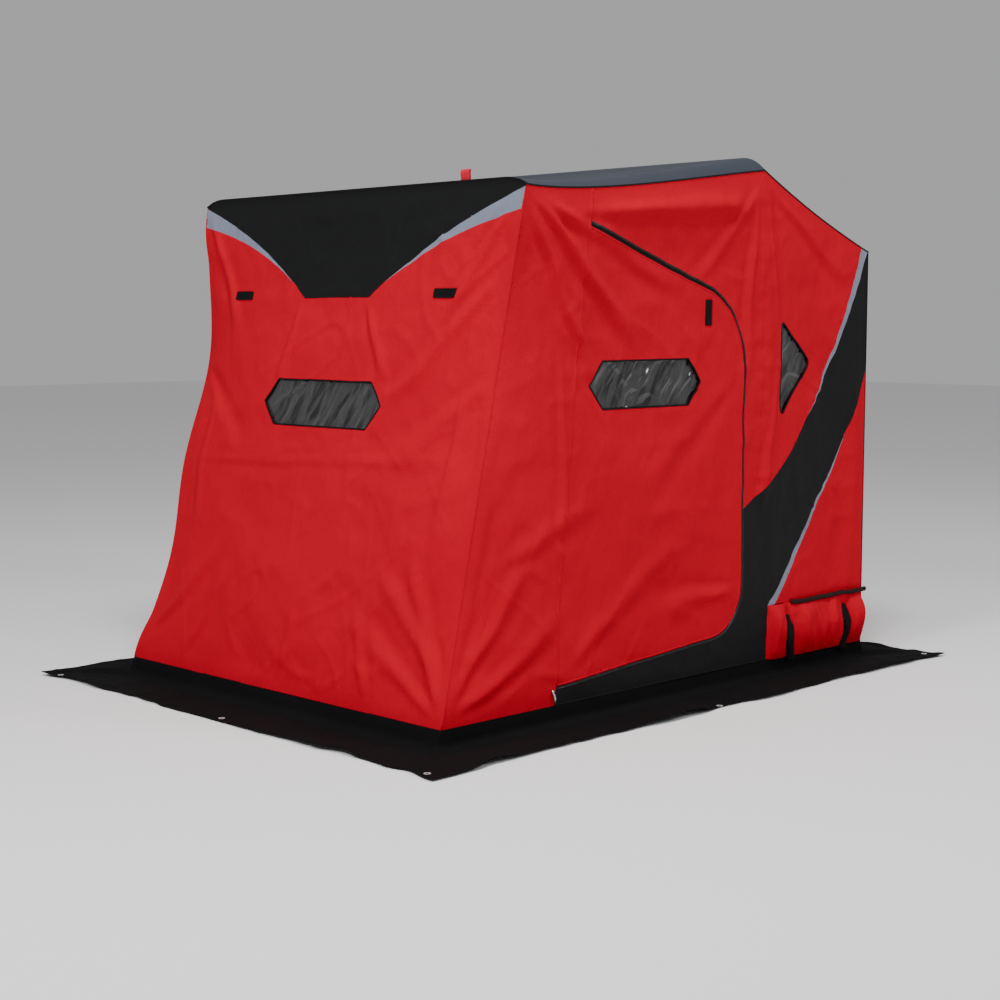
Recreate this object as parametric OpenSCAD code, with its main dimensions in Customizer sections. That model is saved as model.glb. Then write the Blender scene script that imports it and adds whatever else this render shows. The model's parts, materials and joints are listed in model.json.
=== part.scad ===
// Flip-over ice fishing shelter: a fabric hut on a pole frame that stands on a moulded sled.
// Millimetres. +Z is up, the front wall faces -Y, and the origin is on the ground at the centre.

/* [Footprint] */
// Width across the side walls
base_w = 1850; // [1600:10:2400]
// Depth from the front wall's foot to the rear wall
base_d = 2480; // [2300:10:3000]
// Width of the ground skirt
skirt_w = 260; // [180:10:350]
// Height of the black hem where the walls meet the skirt
hem_h = 75; // [50:5:100]

/* [Roof] */
// Height of the roof seam at the front bow
front_h = 1910; // [1700:10:2100]
// How far the front bow stands behind the front wall's foot
front_set = 420; // [300:10:500]
// Height of the roof seam at the main bow, the highest one
main_h = 2030; // [1850:10:2200]
// How far the main bow stands behind the front wall's foot
main_set = 1755; // [1720:5:1850]
// Height of the roof seam at the rear bow
rear_h = 1730; // [1500:10:1850]
// Rise of the roof above its seam at the front bow
front_crown = 20; // [5:1:60]
// Rise of the roof above its seam at the main bow
main_crown = 50; // [10:1:80]
// Rise of the roof above its seam at the rear bow
rear_crown = 30; // [5:1:60]
// Width of the rounded shoulder at each end of a bow
shoulder_w = 110; // [60:10:200]

/* [Fabric] */
// Thickness of the insulated wall fabric
fabric_t = 5; // [3:0.5:8]
// Thickness of the skirt fabric
skirt_t = 4; // [3:0.5:6]
// Thickness of a clear vinyl window
vinyl_t = 2; // [1:0.5:4]
// Overlap of a window's sheet on the wall around it
window_lap = 18; // [10:1:30]

/* [Door] */
// Distance from the front wall's foot to the door's sewn edge, at its foot
door_foot_s = 574; // [500:2:640]
// Height of the sewn edge's foot
door_foot_z = 132; // [110:2:200]
// Distance from the front wall's foot to the sewn edge, at its top
door_top_s = 741; // [680:1:800]
// Height of the sewn edge's top
door_top_z = 1815; // [1600:5:1850]
// Distance from the front wall's foot to the door's rear edge
door_rear_s = 1655; // [1500:5:1700]
// Height at which the sloping top zip would meet the rear edge
door_rear_z = 1505; // [1300:5:1560]
// Height at which the bottom zip would meet the rear edge
door_low_z = 210; // [160:5:300]
// Radius of the zip's upper corner
door_top_r = 330; // [150:10:400]
// Radius of the zip's lower corner
door_low_r = 210; // [120:10:300]
// Width of the zip tape
zip_w = 14; // [8:1:24]
// Gap between the zip tape and the wall around it
door_gap = 6.5; // [6:0.5:10]

/* [Windows] */
// Width of the front and rear windows, point to point
window_w = 690; // [500:10:900]
// Height of the front and rear windows
window_h = 175; // [120:5:260]
// Height of their centre above the ground
window_z = 1135; // [950:5:1200]
// Width of a door window, point to point
door_window_w = 630; // [400:10:700]
// Height of the centre of a door window
door_window_z = 1212; // [1000:5:1300]
// Distance from the front wall's foot to the centre of a door window
door_window_s = 1072; // [1040:2:1100]
// Height of the triangular window's upright edge
quarter_h = 394; // [250:2:420]
// Depth of the triangular window, from its upright edge to its point
quarter_w = 205; // [150:5:230]
// Height of the centre of the triangular window
quarter_z = 1250; // [1150:5:1300]

/* [Sled] */
// Gap between each end of the sled and the outside of the side wall
sled_end_gap = 15; // [12:1:40]
// Distance from the main bow back to the sled's front edge
sled_front_set = 48; // [40:1:60]
// Depth of the sled's tub
sled_h = 290; // [220:5:340]
// Wall of the moulded tub
sled_t = 6; // [4:0.5:10]
// How far the tub's foot stands in from its rim
sled_draft = 60; // [30:5:100]
// Corner radius of the tub
sled_r = 90; // [50:5:140]

/* [Frame] */
// Width of the square frame tube
pole = 25; // [20:1:32]
// Radius of a corner hub
hub_r = 28; // [22:1:36]
// Height of the pivot brackets above the sled's rim
bracket_h = 90; // [60:5:140]

/* [Trim] */
// Width of the straps that hold the sled flap down
strap_w = 38; // [25:1:60]
// Thickness of webbing and of hook and loop tabs
webbing_t = 3; // [2:0.5:5]
// Inner radius of an anchor grommet
grommet_r = 6; // [4:0.5:9]

/* [Hidden] */

arc_steps = 10;         // steps in a rounded corner of an outline
seat_gap = 0.3;         // gap between a hung piece and its seat
hinge_gap = 0.5;        // gap along the door's sewn edge
half_w = base_w / 2;
front_y = -base_d / 2;
rear_y = base_d / 2;
front_lean = atan(front_set / front_h);
front_slope = front_h / cos(front_lean);   // length of the front wall, foot to seam
wall_in = fabric_t / cos(front_lean);      // the front wall's thickness, measured along the depth
frame_x = half_w - fabric_t - pole / 2;    // centre of the poles beside the walls
sled_rear_gap = 12;     // gap between the sled's rim and the rear wall
sled_l = base_w - 2 * sled_end_gap;
sled_w = base_d - main_set - sled_front_set - fabric_t - sled_rear_gap;
sled_rim = 28;          // width of the sled's flat rim
sled_rim_t = 8;         // thickness of that rim

// ---- Outlines ---------------------------------------------------------------------------

function unit(v) = v / norm(v);
function cross2(a, b) = a[0] * b[1] - a[1] * b[0];

// The point where the line through p along u meets the line through q along v.
function meet(p, u, q, v) = p + u * (cross2(q - p, v) / cross2(u, v));

// A closed outline with each edge i (from point i to the next) moved inwards by d[i].
// The points run anticlockwise.
function inset(pts, d) =
    let (n = len(pts),
         dir = [for (i = [0:n - 1]) unit(pts[(i + 1) % n] - pts[i])],
         off = [for (i = [0:n - 1]) pts[i] + [-dir[i][1], dir[i][0]] * d[i]])
    [for (i = [0:n - 1]) let (j = (i + n - 1) % n) meet(off[j], dir[j], off[i], dir[i])];

// The points of an arc of radius r that rounds corner b of the line from, b, to.
function round_corner(from, b, to, r) =
    r <= 0 ? [b] :
    let (u = unit(from - b), v = unit(to - b), half = acos(u * v) / 2,
         centre = b + unit(u + v) * (r / sin(half)),
         p = b + u * (r / tan(half)), q = b + v * (r / tan(half)),
         start = atan2(p[1] - centre[1], p[0] - centre[0]),
         end = atan2(q[1] - centre[1], q[0] - centre[0]),
         turn = end - start > 180 ? end - start - 360 : end - start < -180 ? end - start + 360 : end - start)
    [for (i = [0:arc_steps])
        let (a = start + turn * i / arc_steps) centre + r * [cos(a), sin(a)]];

// An outline with corner i rounded to radius r[i].
function rounded(pts, r) =
    let (n = len(pts))
    [for (i = [0:n - 1]) each round_corner(pts[(i + n - 1) % n], pts[i], pts[(i + 1) % n], r[i])];

// A curve that leaves v[0] towards v[1] and reaches v[2] from there: its point at t, from 0 to 1.
function on_curve(v, t) = v[0] * pow(1 - t, 2) + v[1] * (2 * t * (1 - t)) + v[2] * pow(t, 2);

// Points on the curve from t0 to t1.
function curve(v, t0 = 0, t1 = 1, n = 8) = [for (i = [0:n]) on_curve(v, t0 + (t1 - t0) * i / n)];

// The t at which the curve passes x.
function t_at(v, x) =
    let (a = v[0][0] - 2 * v[1][0] + v[2][0], b = 2 * (v[1][0] - v[0][0]), c = v[0][0] - x)
    abs(a) < 0.001 ? -c / b : (-b - sqrt(b * b - 4 * a * c)) / (2 * a);

// Height of the roof above its seam at x, on a bow with this crown.
function bow_rise(x, crown) =
    let (t = min(1, (half_w - abs(x)) / shoulder_w)) crown * (1 - pow(1 - t, 2));

// The x positions at which a bow's line is drawn.
bow_x = concat(
    [for (i = [0:5]) -half_w + shoulder_w * i / 5],
    [for (i = [0:5]) half_w - shoulder_w + shoulder_w * i / 5]);

// Distance from the front wall's foot to the inner face of the front wall, at height z.
function front_in(z) = front_set * z / front_h + wall_in;

// Height of the roof seam at distance s from the front wall's foot.
function seam_z(s) =
    s < main_set ? front_h + (main_h - front_h) * (s - front_set) / (main_set - front_set)
                 : main_h + (rear_h - main_h) * (s - main_set) / (base_d - main_set);

// ---- Side wall outlines, as (distance from the front wall's foot, height) ---------------------

side_rear_s = base_d - fabric_t;
rear_top_z = seam_z(side_rear_s);
flap_s = main_set + 50;             // front edge of the sled flap
flap_z = sled_h + 5;                // top of the sled flap, at the sled's rim
accent_w = 45;                      // widest part of the grey edging
door_foot = [door_foot_s, door_foot_z];
door_top = [door_top_s, door_top_z];
door_points = [door_foot, [door_rear_s, door_low_z], [door_rear_s, door_rear_z], door_top];
door_dir = unit(door_top - door_foot);

// The sewn edge's line, carried on to height z.
function hinge_at(z) = door_foot + door_dir * ((z - door_foot[1]) / door_dir[1]);

// The door's outline, d inside its opening on the zipped edges and h inside it on the sewn one.
function door_outline(d, h) =
    rounded(inset(door_points, [d, d, d, h]), [0, door_low_r - d, door_top_r - d, 0]);

// Where the sewn edge's line and the front wall's inner face meet the roof seam.
seam_dir = [main_set - front_set, main_h - front_h];
hinge_seam = meet(door_foot, door_dir, [front_set, front_h], seam_dir);
front_seam = meet([front_in(0), 0], [front_set, front_h], [front_set, front_h], seam_dir);

// The black band's upper edge, from the rear bow's corner down to the door, and its lower edge,
// from the rear corner down to the sled flap.
band_upper = [[side_rear_s, rear_top_z], [side_rear_s - 336, rear_h - 794], [door_rear_s, door_low_z + 485]];
band_lower = [[side_rear_s, rear_h - 480], [side_rear_s - 45, rear_h - 710], [flap_s, flap_z]];
upper_end = 0.6;                    // where the upper grey edging tapers out, along the band's edge
lower_end = 0.35;                   // where the lower grey edging tapers out
t_main = t_at(band_upper, main_set);

// The stretches of both edges that the pieces beside the band share with it.
upper_a = curve(band_upper, 0, upper_end, 6);
upper_b = curve(band_upper, upper_end, t_main, 4);
upper_c = curve(band_upper, t_main, 1, 2);
lower_a = curve(band_lower, 0, lower_end, 3);
lower_b = curve(band_lower, lower_end, 1, 6);

// The grey edging's outer edge, from its widest end to where it tapers out.
upper_out = [-accent_w, seam_z(side_rear_s - accent_w) - rear_top_z];
upper_edge = [for (i = [0:6]) on_curve(band_upper, upper_end * i / 6) + upper_out * (1 - i / 6)];
lower_edge = [for (i = [0:6])
    on_curve(band_lower, 1 - (1 - lower_end) * i / 6) + [accent_w * (1 - i / 6), 0]];

function backwards(pts) = [for (i = [len(pts) - 1:-1:0]) pts[i]];
function all_but_last(pts) = [for (i = [0:len(pts) - 2]) pts[i]];

front_strip_points = [[front_in(hem_h), hem_h], hinge_at(hem_h), hinge_seam, front_seam];
header_points = concat(
    backwards(upper_c),
    [[main_set, main_h], hinge_seam, door_top],
    backwards(round_corner(door_points[1], door_points[2], door_points[3], door_top_r)));
rear_panel_points = concat(
    [[main_set, main_h]],
    all_but_last(upper_edge),
    upper_b);
band_points = concat(
    [hinge_at(hem_h), door_foot],
    round_corner(door_points[0], door_points[1], door_points[2], door_low_r),
    backwards(concat(all_but_last(upper_a), all_but_last(upper_b), upper_c)),
    all_but_last(lower_a),
    lower_b,
    [[flap_s, hem_h]]);
corner_points = concat(
    all_but_last(lower_a),
    backwards(lower_edge),
    [[side_rear_s, flap_z]]);
upper_accent = concat(upper_a, backwards(all_but_last(upper_edge)));
lower_accent = concat(lower_b, all_but_last(lower_edge));

quarter_top = [main_set + 130, quarter_z + quarter_h / 2];
quarter_points = [quarter_top - [0, quarter_h], quarter_top + [quarter_w, -quarter_h * 0.44], quarter_top];

module rear_panel_2d() {
    difference() {
        polygon(rear_panel_points);
        polygon(rounded(quarter_points, [12, 30, 12]));
    }
}

// A side piece from its outline: t thick, with its outer face out mm beyond the wall's.
module side_slab(t = fabric_t, out = 0) {
    translate([half_w - t + out, front_y, 0]) rotate([90, 0, 90]) linear_extrude(t) children();
}

module left() { mirror([1, 0, 0]) children(); }

// ---- Side walls ----------------------------------------------------------------------------

module front_strip() { color("red") side_slab() polygon(front_strip_points); }
module header() { color("red") side_slab() polygon(header_points); }
module rear_panel() { color("red") side_slab() rear_panel_2d(); }
module band() { color([0.08, 0.08, 0.09]) side_slab() polygon(band_points); }
module corner_panel() { color("red") side_slab() polygon(corner_points); }
module sled_flap() {
    color("red") side_slab() translate([flap_s, hem_h]) square([side_rear_s - flap_s, flap_z - hem_h]);
}

module quarter_window() {
    color([0.2, 0.2, 0.2, 0.6]) side_slab(vinyl_t, -fabric_t)
        polygon(rounded(inset(quarter_points, [-window_lap, -window_lap, -window_lap]), [20, 40, 20]));
}

module corner_panels() { corner_panel(); left() corner_panel(); }
module sled_flaps() { sled_flap(); left() sled_flap(); }
module quarter_windows() { quarter_window(); left() quarter_window(); }

module side_accent_pair() {
    color("slategray") side_slab() polygon(upper_accent);
    color("slategray") side_slab() polygon(lower_accent);
}

module side_accents() { side_accent_pair(); left() side_accent_pair(); }

strap_in = 140;         // distance of a flap strap from the flap's end
strap_drop = 60;        // distance of its top below the flap's

// Two straps that hold the flap down over the sled's end.
module flap_strap_pair() {
    for (s = [flap_s + strap_in, side_rear_s - strap_in])
        color([0.05, 0.05, 0.05]) side_slab(webbing_t, webbing_t)
            translate([s - strap_w / 2, skirt_t + seat_gap]) square([strap_w, flap_z - strap_drop]);
}

module flap_straps() { flap_strap_pair(); left() flap_strap_pair(); }

// ---- Doors -----------------------------------------------------------------------------------

// A hexagon with points at its ends, w long and h high, around (s, z).
function hexagon(s, z, w, h) =
    let (cut = h * 0.42)
    [[s - w / 2 + cut, z - h / 2], [s + w / 2 - cut, z - h / 2], [s + w / 2, z],
     [s + w / 2 - cut, z + h / 2], [s - w / 2 + cut, z + h / 2], [s - w / 2, z]];

door_window = hexagon(door_window_s, door_window_z, door_window_w, window_h);

module door() {
    color("red") side_slab() difference() {
        polygon(door_outline(door_gap + zip_w, hinge_gap));
        polygon(door_window);
    }
}

module door_zip() {
    color([0.05, 0.05, 0.05]) side_slab() difference() {
        polygon(door_outline(door_gap, hinge_gap));
        polygon(door_outline(door_gap + zip_w, -1));
    }
}

module window_sheet_2d(pts) { polygon(inset(pts, [for (p = pts) -window_lap])); }

module door_window_sheet() {
    color([0.2, 0.2, 0.2, 0.6]) side_slab(vinyl_t, -fabric_t) window_sheet_2d(door_window);
}

tab_l = 100;            // length of a hook and loop tab
tab_w = 34;             // width of a hook and loop tab
door_tab_in = 240;      // distance of a door's tab from the door's rear edge
door_tab_drop = 80;     // distance of its foot below the corner of the zip

module door_tab() {
    color([0.05, 0.05, 0.05]) side_slab(webbing_t, webbing_t)
        translate([door_rear_s - door_tab_in, door_rear_z - door_tab_drop]) square([tab_w, tab_l]);
}

// ---- Front wall, in its own leaning plane as (x, distance up the slope) ------------------------

module front_slab(t = fabric_t, out = 0) {
    translate([0, front_y, 0]) rotate([90 - front_lean, 0, 0]) translate([0, 0, out - t]) linear_extrude(t)
        children();
}

front_top = [for (i = [len(bow_x) - 1:-1:0]) [bow_x[i], front_slope + bow_rise(bow_x[i], front_crown)]];
v_half = 190;                       // half the width of the V panel's flat foot
v_foot = front_slope - 388;         // height of that foot up the slope
v_bend = front_slope - 150;         // height that the V panel's edge bends towards
v_side = front_slope - 8;           // height at which the V panel's edge leaves the corner
v_edge = curve([[v_half, v_foot], [half_w * 0.54, v_bend], [half_w - 5, v_side]]);
accent_drop = 80;                   // depth of the grey edging at the corner
front_tab_l = 120;                  // length of a tab on the front wall
front_tab_x = 600;                  // distance of a front tab from the middle
front_tab_drop = 395;               // distance of its foot below the roof seam
v_accent = concat(v_edge, [[half_w, v_side]],
    [for (i = [len(v_edge) - 1:-1:1]) v_edge[i] - [0, accent_drop * pow(i / (len(v_edge) - 1), 1.55)]]);

function flip_x(pts) = [for (i = [len(pts) - 1:-1:0]) [-pts[i][0], pts[i][1]]];

module v_panel_2d(top) {
    polygon(concat(v_edge, [[half_w, v_side]], top, [[-half_w, v_side]], flip_x(v_edge)));
}

module accent_pair_2d() {
    polygon(v_accent);
    mirror([1, 0]) polygon(v_accent);
}

front_window_points = hexagon(0, window_z / cos(front_lean), window_w, window_h);

module front_wall() {
    color("red") front_slab() difference() {
        translate([-half_w, hem_h]) square([base_w, v_side - hem_h]);
        v_panel_2d(front_top);
        accent_pair_2d();
        polygon(front_window_points);
    }
}

module front_v_panel() { color([0.08, 0.08, 0.09]) front_slab() v_panel_2d(front_top); }
module front_accents() { color("slategray") front_slab() accent_pair_2d(); }

module front_window() {
    color([0.2, 0.2, 0.2, 0.6]) front_slab(vinyl_t, -fabric_t) window_sheet_2d(front_window_points);
}

module front_tabs() {
    for (x = [-1, 1])
        color([0.05, 0.05, 0.05]) front_slab(webbing_t, webbing_t)
            translate([x * front_tab_x - front_tab_l / 2, front_slope - front_tab_drop])
                square([front_tab_l, tab_w]);
}

// ---- Rear wall ---------------------------------------------------------------------------------

module rear_slab(t = fabric_t, out = 0) {
    translate([0, rear_y - t + out, 0]) mirror([0, 1, 0]) rotate([90, 0, 0]) linear_extrude(t) children();
}

rear_top = [for (i = [len(bow_x) - 1:-1:0]) [bow_x[i], rear_h + bow_rise(bow_x[i], rear_crown)]];
rear_band_edge = curve([[v_half + 60, rear_h - 260], [half_w * 0.6, rear_h - 300], [half_w, rear_h - 480]]);
rear_window_points = hexagon(0, window_z, window_w, window_h);

module rear_top_2d() {
    polygon(concat(rear_band_edge, rear_top, flip_x(rear_band_edge)));
}

module rear_wall() {
    color("red") rear_slab() difference() {
        translate([-half_w, hem_h]) square([base_w, rear_h - hem_h]);
        rear_top_2d();
        polygon(rear_window_points);
    }
}

module rear_top_panel() { color([0.08, 0.08, 0.09]) rear_slab() rear_top_2d(); }

module rear_window() {
    color([0.2, 0.2, 0.2, 0.6]) rear_slab(vinyl_t, -fabric_t) window_sheet_2d(rear_window_points);
}

// ---- Roof --------------------------------------------------------------------------------------

// The line of a bow: seam height, crown and distance from the front wall's foot.
function bow_line(s, h, crown) = [for (x = bow_x) [x, front_y + s, h + bow_rise(x, crown)]];

// A sheet of fabric between two lines of points, with its underside on them.
module sheet(a, b, t) {
    n = len(a);
    up = [0, 0, t];
    polyhedron(
        concat(a, b, [for (p = a) p + up], [for (p = b) p + up]),
        concat(
            [for (i = [0:n - 2]) each [[i, i + 1, n + i + 1, n + i],
                [3 * n + i, 3 * n + i + 1, 2 * n + i + 1, 2 * n + i],
                [2 * n + i, 2 * n + i + 1, i + 1, i],
                [n + i, n + i + 1, 3 * n + i + 1, 3 * n + i]]],
            [[0, n, 3 * n, 2 * n], [2 * n - 1, n - 1, 3 * n - 1, 4 * n - 1]]));
}

module roof_panel() {
    color([0.15, 0.16, 0.18]) sheet(
        bow_line(front_set, front_h, front_crown), bow_line(main_set, main_h, main_crown), fabric_t);
}

module rear_roof_panel() {
    color([0.15, 0.16, 0.18]) sheet(
        bow_line(main_set, main_h, main_crown), bow_line(base_d, rear_h, rear_crown), fabric_t);
}

tag_x = 620;            // distance of the roof tag from the middle
tag_w = 46;             // width of the roof tag
tag_h = 42;             // height of the roof tag
tag_in = 4;             // distance of the tag behind the front bow's seam

module roof_tag() {
    tag_s = front_set + tag_in;
    color("crimson") translate([tag_x - tag_w / 2, front_y + tag_s, roof_mid(tag_s + webbing_t) + fabric_t])
        cube([tag_w, webbing_t, tag_h]);
}

// ---- Frame ---------------------------------------------------------------------------------------

cheek_t = 6;            // thickness of a pivot bracket's plates
bracket_w = 90;         // depth of a pivot bracket
bolt_r = 6;             // radius of a pivot bolt
bolt_head_r = 10;       // radius of its head
foot_up = 55;           // height of a pivot bolt above the sled's rim
foot_set = 95;          // distance of a pivot bolt behind the main bow, and ahead of the rear wall
head_h = 7;             // height of a pivot bolt's head
bracket_in = 4;         // distance of a bracket from the end of the sled's rim

// A square tube from p to q, cut short at its ends.
module bar(p, q, cut_p = 0, cut_q = 0) {
    d = q - p;
    l = norm(d);
    translate(p) rotate([0, acos(d[2] / l), atan2(d[1], d[0])]) translate([-pole / 2, -pole / 2, cut_p])
        cube([pole, pole, l - cut_p - cut_q]);
}

// Height of the roof's underside on the middle line, at distance s from the front wall's foot.
function roof_mid(s) =
    s < main_set
    ? front_h + front_crown
        + (main_h + main_crown - front_h - front_crown) * (s - front_set) / (main_set - front_set)
    : main_h + main_crown
        + (rear_h + rear_crown - main_h - main_crown) * (s - main_set) / (base_d - main_set);

hub_drop = 12;          // distance of a hub's top below the roof seam
front_hub_s = front_set + hub_r + 12;
rear_hub_s = base_d - fabric_t - hub_r - 2;
front_hub = [frame_x, front_y + front_hub_s, front_h - hub_r - hub_drop];
main_hub = [frame_x, front_y + main_set, main_h - hub_r - hub_drop];
rear_hub = [frame_x, front_y + rear_hub_s, rear_h - hub_r - hub_drop];
main_foot = [frame_x, front_y + main_set + foot_set, sled_h + foot_up];
rear_foot = [frame_x, rear_y - foot_set, sled_h + foot_up];

// The crossbar of a bow, which rises from its hubs to carry the roof.
module crossbar(hub, s) {
    end_x = hub[0] - pole / 2;
    top_z = min(roof_mid(s - pole / 2), roof_mid(s + pole / 2)) - seat_gap;
    line = [[-end_x, hub[2]], [-end_x + shoulder_w, top_z - pole / 2],
        [end_x - shoulder_w, top_z - pole / 2], [end_x, hub[2]]];
    color("dimgray") translate([0, hub[1] + pole / 2, 0]) rotate([90, 0, 0]) linear_extrude(pole)
        polygon(concat([for (p = line) p - [0, pole / 2]],
            [for (i = [len(line) - 1:-1:0]) line[i] + [0, pole / 2]]));
}

module crossbars() {
    crossbar(front_hub, front_hub_s);
    crossbar(main_hub, main_set);
    crossbar(rear_hub, rear_hub_s);
}

// A pole from a pivot bolt up to a hub, bored for the bolt.
module upright(foot, hub) {
    color("dimgray") difference() {
        bar(foot, hub, -pole * 0.8, hub_r);
        translate(foot - [pole, 0, 0]) rotate([0, 90, 0])
            cylinder(r = bolt_r + seat_gap, h = 2 * pole, $fn = 48);
    }
}

module upright_pair() {
    upright(main_foot, main_hub);
    upright(rear_foot, rear_hub);
}

module uprights() { upright_pair(); left() upright_pair(); }

module side_rail_pair() {
    color("dimgray") bar(front_hub, main_hub, hub_r, hub_r);
    color("dimgray") bar(main_hub, rear_hub, hub_r, hub_r);
}

module side_rails() { side_rail_pair(); left() side_rail_pair(); }

module hub(p) {
    color([0.1, 0.1, 0.1]) translate(p - [pole / 2, 0, 0]) rotate([0, 90, 0])
        cylinder(r = hub_r, h = pole, $fn = 48);
}

module corner_hubs() {
    for (p = [front_hub, main_hub, rear_hub]) {
        hub(p);
        left() hub(p);
    }
}

// A bracket screwed to the sled's rim. Its cheek stands beside the pole and its bolt goes through it.
module pivot_bracket(p) {
    cheek_x = p[0] - pole / 2 - cheek_t;
    rim_x = sled_l / 2 - bracket_in;
    color([0.2, 0.2, 0.2]) {
        translate([cheek_x - cheek_t, p[1] - bracket_w / 2, sled_h])
            cube([rim_x - cheek_x + cheek_t, bracket_w, cheek_t]);
        translate([cheek_x, p[1] - bracket_w / 2, sled_h]) cube([cheek_t, bracket_w, bracket_h]);
        translate([cheek_x - head_h, p[1], p[2]]) rotate([0, 90, 0])
            cylinder(r = bolt_head_r, h = head_h, $fn = 48);
        translate([cheek_x, p[1], p[2]]) rotate([0, 90, 0])
            cylinder(r = bolt_r, h = cheek_t + pole, $fn = 48);
    }
}

module pivot_brackets() {
    for (p = [main_foot, rear_foot]) {
        pivot_bracket(p);
        left() pivot_bracket(p);
    }
}

// ---- Sled ----------------------------------------------------------------------------------------

// A flat plate with round corners, w by d by h, around the Z axis.
module plate(w, d, h, r) {
    linear_extrude(h) polygon(rounded(
        [[-w / 2, -d / 2], [w / 2, -d / 2], [w / 2, d / 2], [-w / 2, d / 2]], [r, r, r, r]));
}

module sled() {
    foot_l = sled_l - 2 * (sled_draft + sled_rim);
    foot_w = sled_w - 2 * (sled_draft + sled_rim);
    mouth_l = sled_l - 2 * sled_rim;
    mouth_w = sled_w - 2 * sled_rim;
    in_r = sled_r - sled_t;
    color([0.1, 0.1, 0.1]) translate([0, rear_y - fabric_t - sled_w / 2 - sled_rear_gap, 0]) difference() {
        union() {
            hull() {
                plate(foot_l, foot_w, 1, sled_r);
                translate([0, 0, sled_h - 1]) plate(mouth_l, mouth_w, 1, sled_r);
            }
            translate([0, 0, sled_h - sled_rim_t]) plate(sled_l, sled_w, sled_rim_t, sled_r);
        }
        hull() {
            translate([0, 0, sled_t]) plate(foot_l - 2 * sled_t, foot_w - 2 * sled_t, 1, in_r);
            translate([0, 0, sled_h]) plate(mouth_l - 2 * sled_t, mouth_w - 2 * sled_t, 1, in_r);
        }
    }
}

// ---- Skirt ---------------------------------------------------------------------------------------

corner_in = 75;         // distance of a corner grommet from the skirt's end
edge_in = 45;           // distance of a grommet from the skirt's edge
hole_r = grommet_r + 2; // radius of a grommet's hole in the skirt
grommet_y = base_d / 2 + skirt_w - edge_in;
grommet_x = half_w + skirt_w - edge_in;
corner_x = half_w + skirt_w - corner_in;

grommet_points = concat(
    [for (x = [-1, 1], y = [-1, 1]) [x * corner_x, y * grommet_y]],
    [for (y = [-1, 1]) [0, y * grommet_y]],
    [for (x = [-1, 1]) [x * grommet_x, 0]]);

module grommet_holes() {
    for (p = grommet_points) translate([p[0], p[1], -1]) cylinder(r = hole_r, h = skirt_t + 2, $fn = 48);
}

// A skirt, which runs out over the ground from a wall of length w and is mitred at its ends.
module skirt(w) {
    linear_extrude(skirt_t) polygon(
        [[-w / 2, 0], [-w / 2 - skirt_w, -skirt_w], [w / 2 + skirt_w, -skirt_w], [w / 2, 0]]);
}

module front_skirt() {
    color([0.07, 0.07, 0.07]) difference() {
        translate([0, front_y, 0]) skirt(base_w);
        grommet_holes();
    }
}

module rear_skirt() {
    color([0.07, 0.07, 0.07]) difference() {
        translate([0, rear_y, 0]) mirror([0, 1, 0]) skirt(base_w);
        grommet_holes();
    }
}

module side_skirt() {
    color([0.07, 0.07, 0.07]) difference() {
        translate([half_w, 0, 0]) rotate([0, 0, 90]) skirt(base_d);
        grommet_holes();
    }
}

hem_cut = fabric_t * tan(front_lean);   // keeps the leaning hem's square end above the ground

module end_hems() {
    color([0.07, 0.07, 0.07]) {
        front_slab() translate([-half_w, hem_cut]) square([base_w, hem_h - hem_cut]);
        rear_slab() translate([-half_w, 0]) square([base_w, hem_h]);
    }
}

module side_hem() {
    color([0.07, 0.07, 0.07]) side_slab()
        polygon([[front_in(0), 0], [side_rear_s, 0], [side_rear_s, hem_h], [front_in(hem_h), hem_h]]);
}

module side_hems() { side_hem(); left() side_hem(); }

module grommet() {
    rotate_extrude($fn = 48) polygon([
        [grommet_r, 0], [hole_r - 0.1, 0], [hole_r - 0.1, skirt_t + 0.1],
        [hole_r + 4, skirt_t + 0.1], [hole_r + 4, skirt_t + 1.2], [grommet_r, skirt_t + 1.2]]);
}

module grommets() {
    for (p = grommet_points) color("silver") translate([p[0], p[1], 0]) grommet();
}

// ---- The nodes -------------------------------------------------------------------------------------

sled();
crossbars();
uprights();
side_rails();
corner_hubs();
pivot_brackets();
front_wall();
front_v_panel();
front_accents();
front_window();
front_tabs();
roof_panel();
rear_roof_panel();
roof_tag();
rear_wall();
rear_top_panel();
rear_window();
front_strip();  // right_front_strip
header();  // right_header
rear_panel();  // right_rear_panel
band();  // right_band
left() front_strip();  // left_front_strip
left() header();  // left_header
left() rear_panel();  // left_rear_panel
left() band();  // left_band
corner_panels();
sled_flaps();
quarter_windows();
side_accents();
flap_straps();
door();  // right_door
door_zip();  // right_door_zip
door_window_sheet();  // right_door_window
door_tab();  // right_door_tab
left() door();  // left_door
left() door_zip();  // left_door_zip
left() door_window_sheet();  // left_door_window
left() door_tab();  // left_door_tab
side_hems();
end_hems();
front_skirt();
rear_skirt();
side_skirt();  // right_skirt
left() side_skirt();  // left_skirt
grommets();
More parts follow.
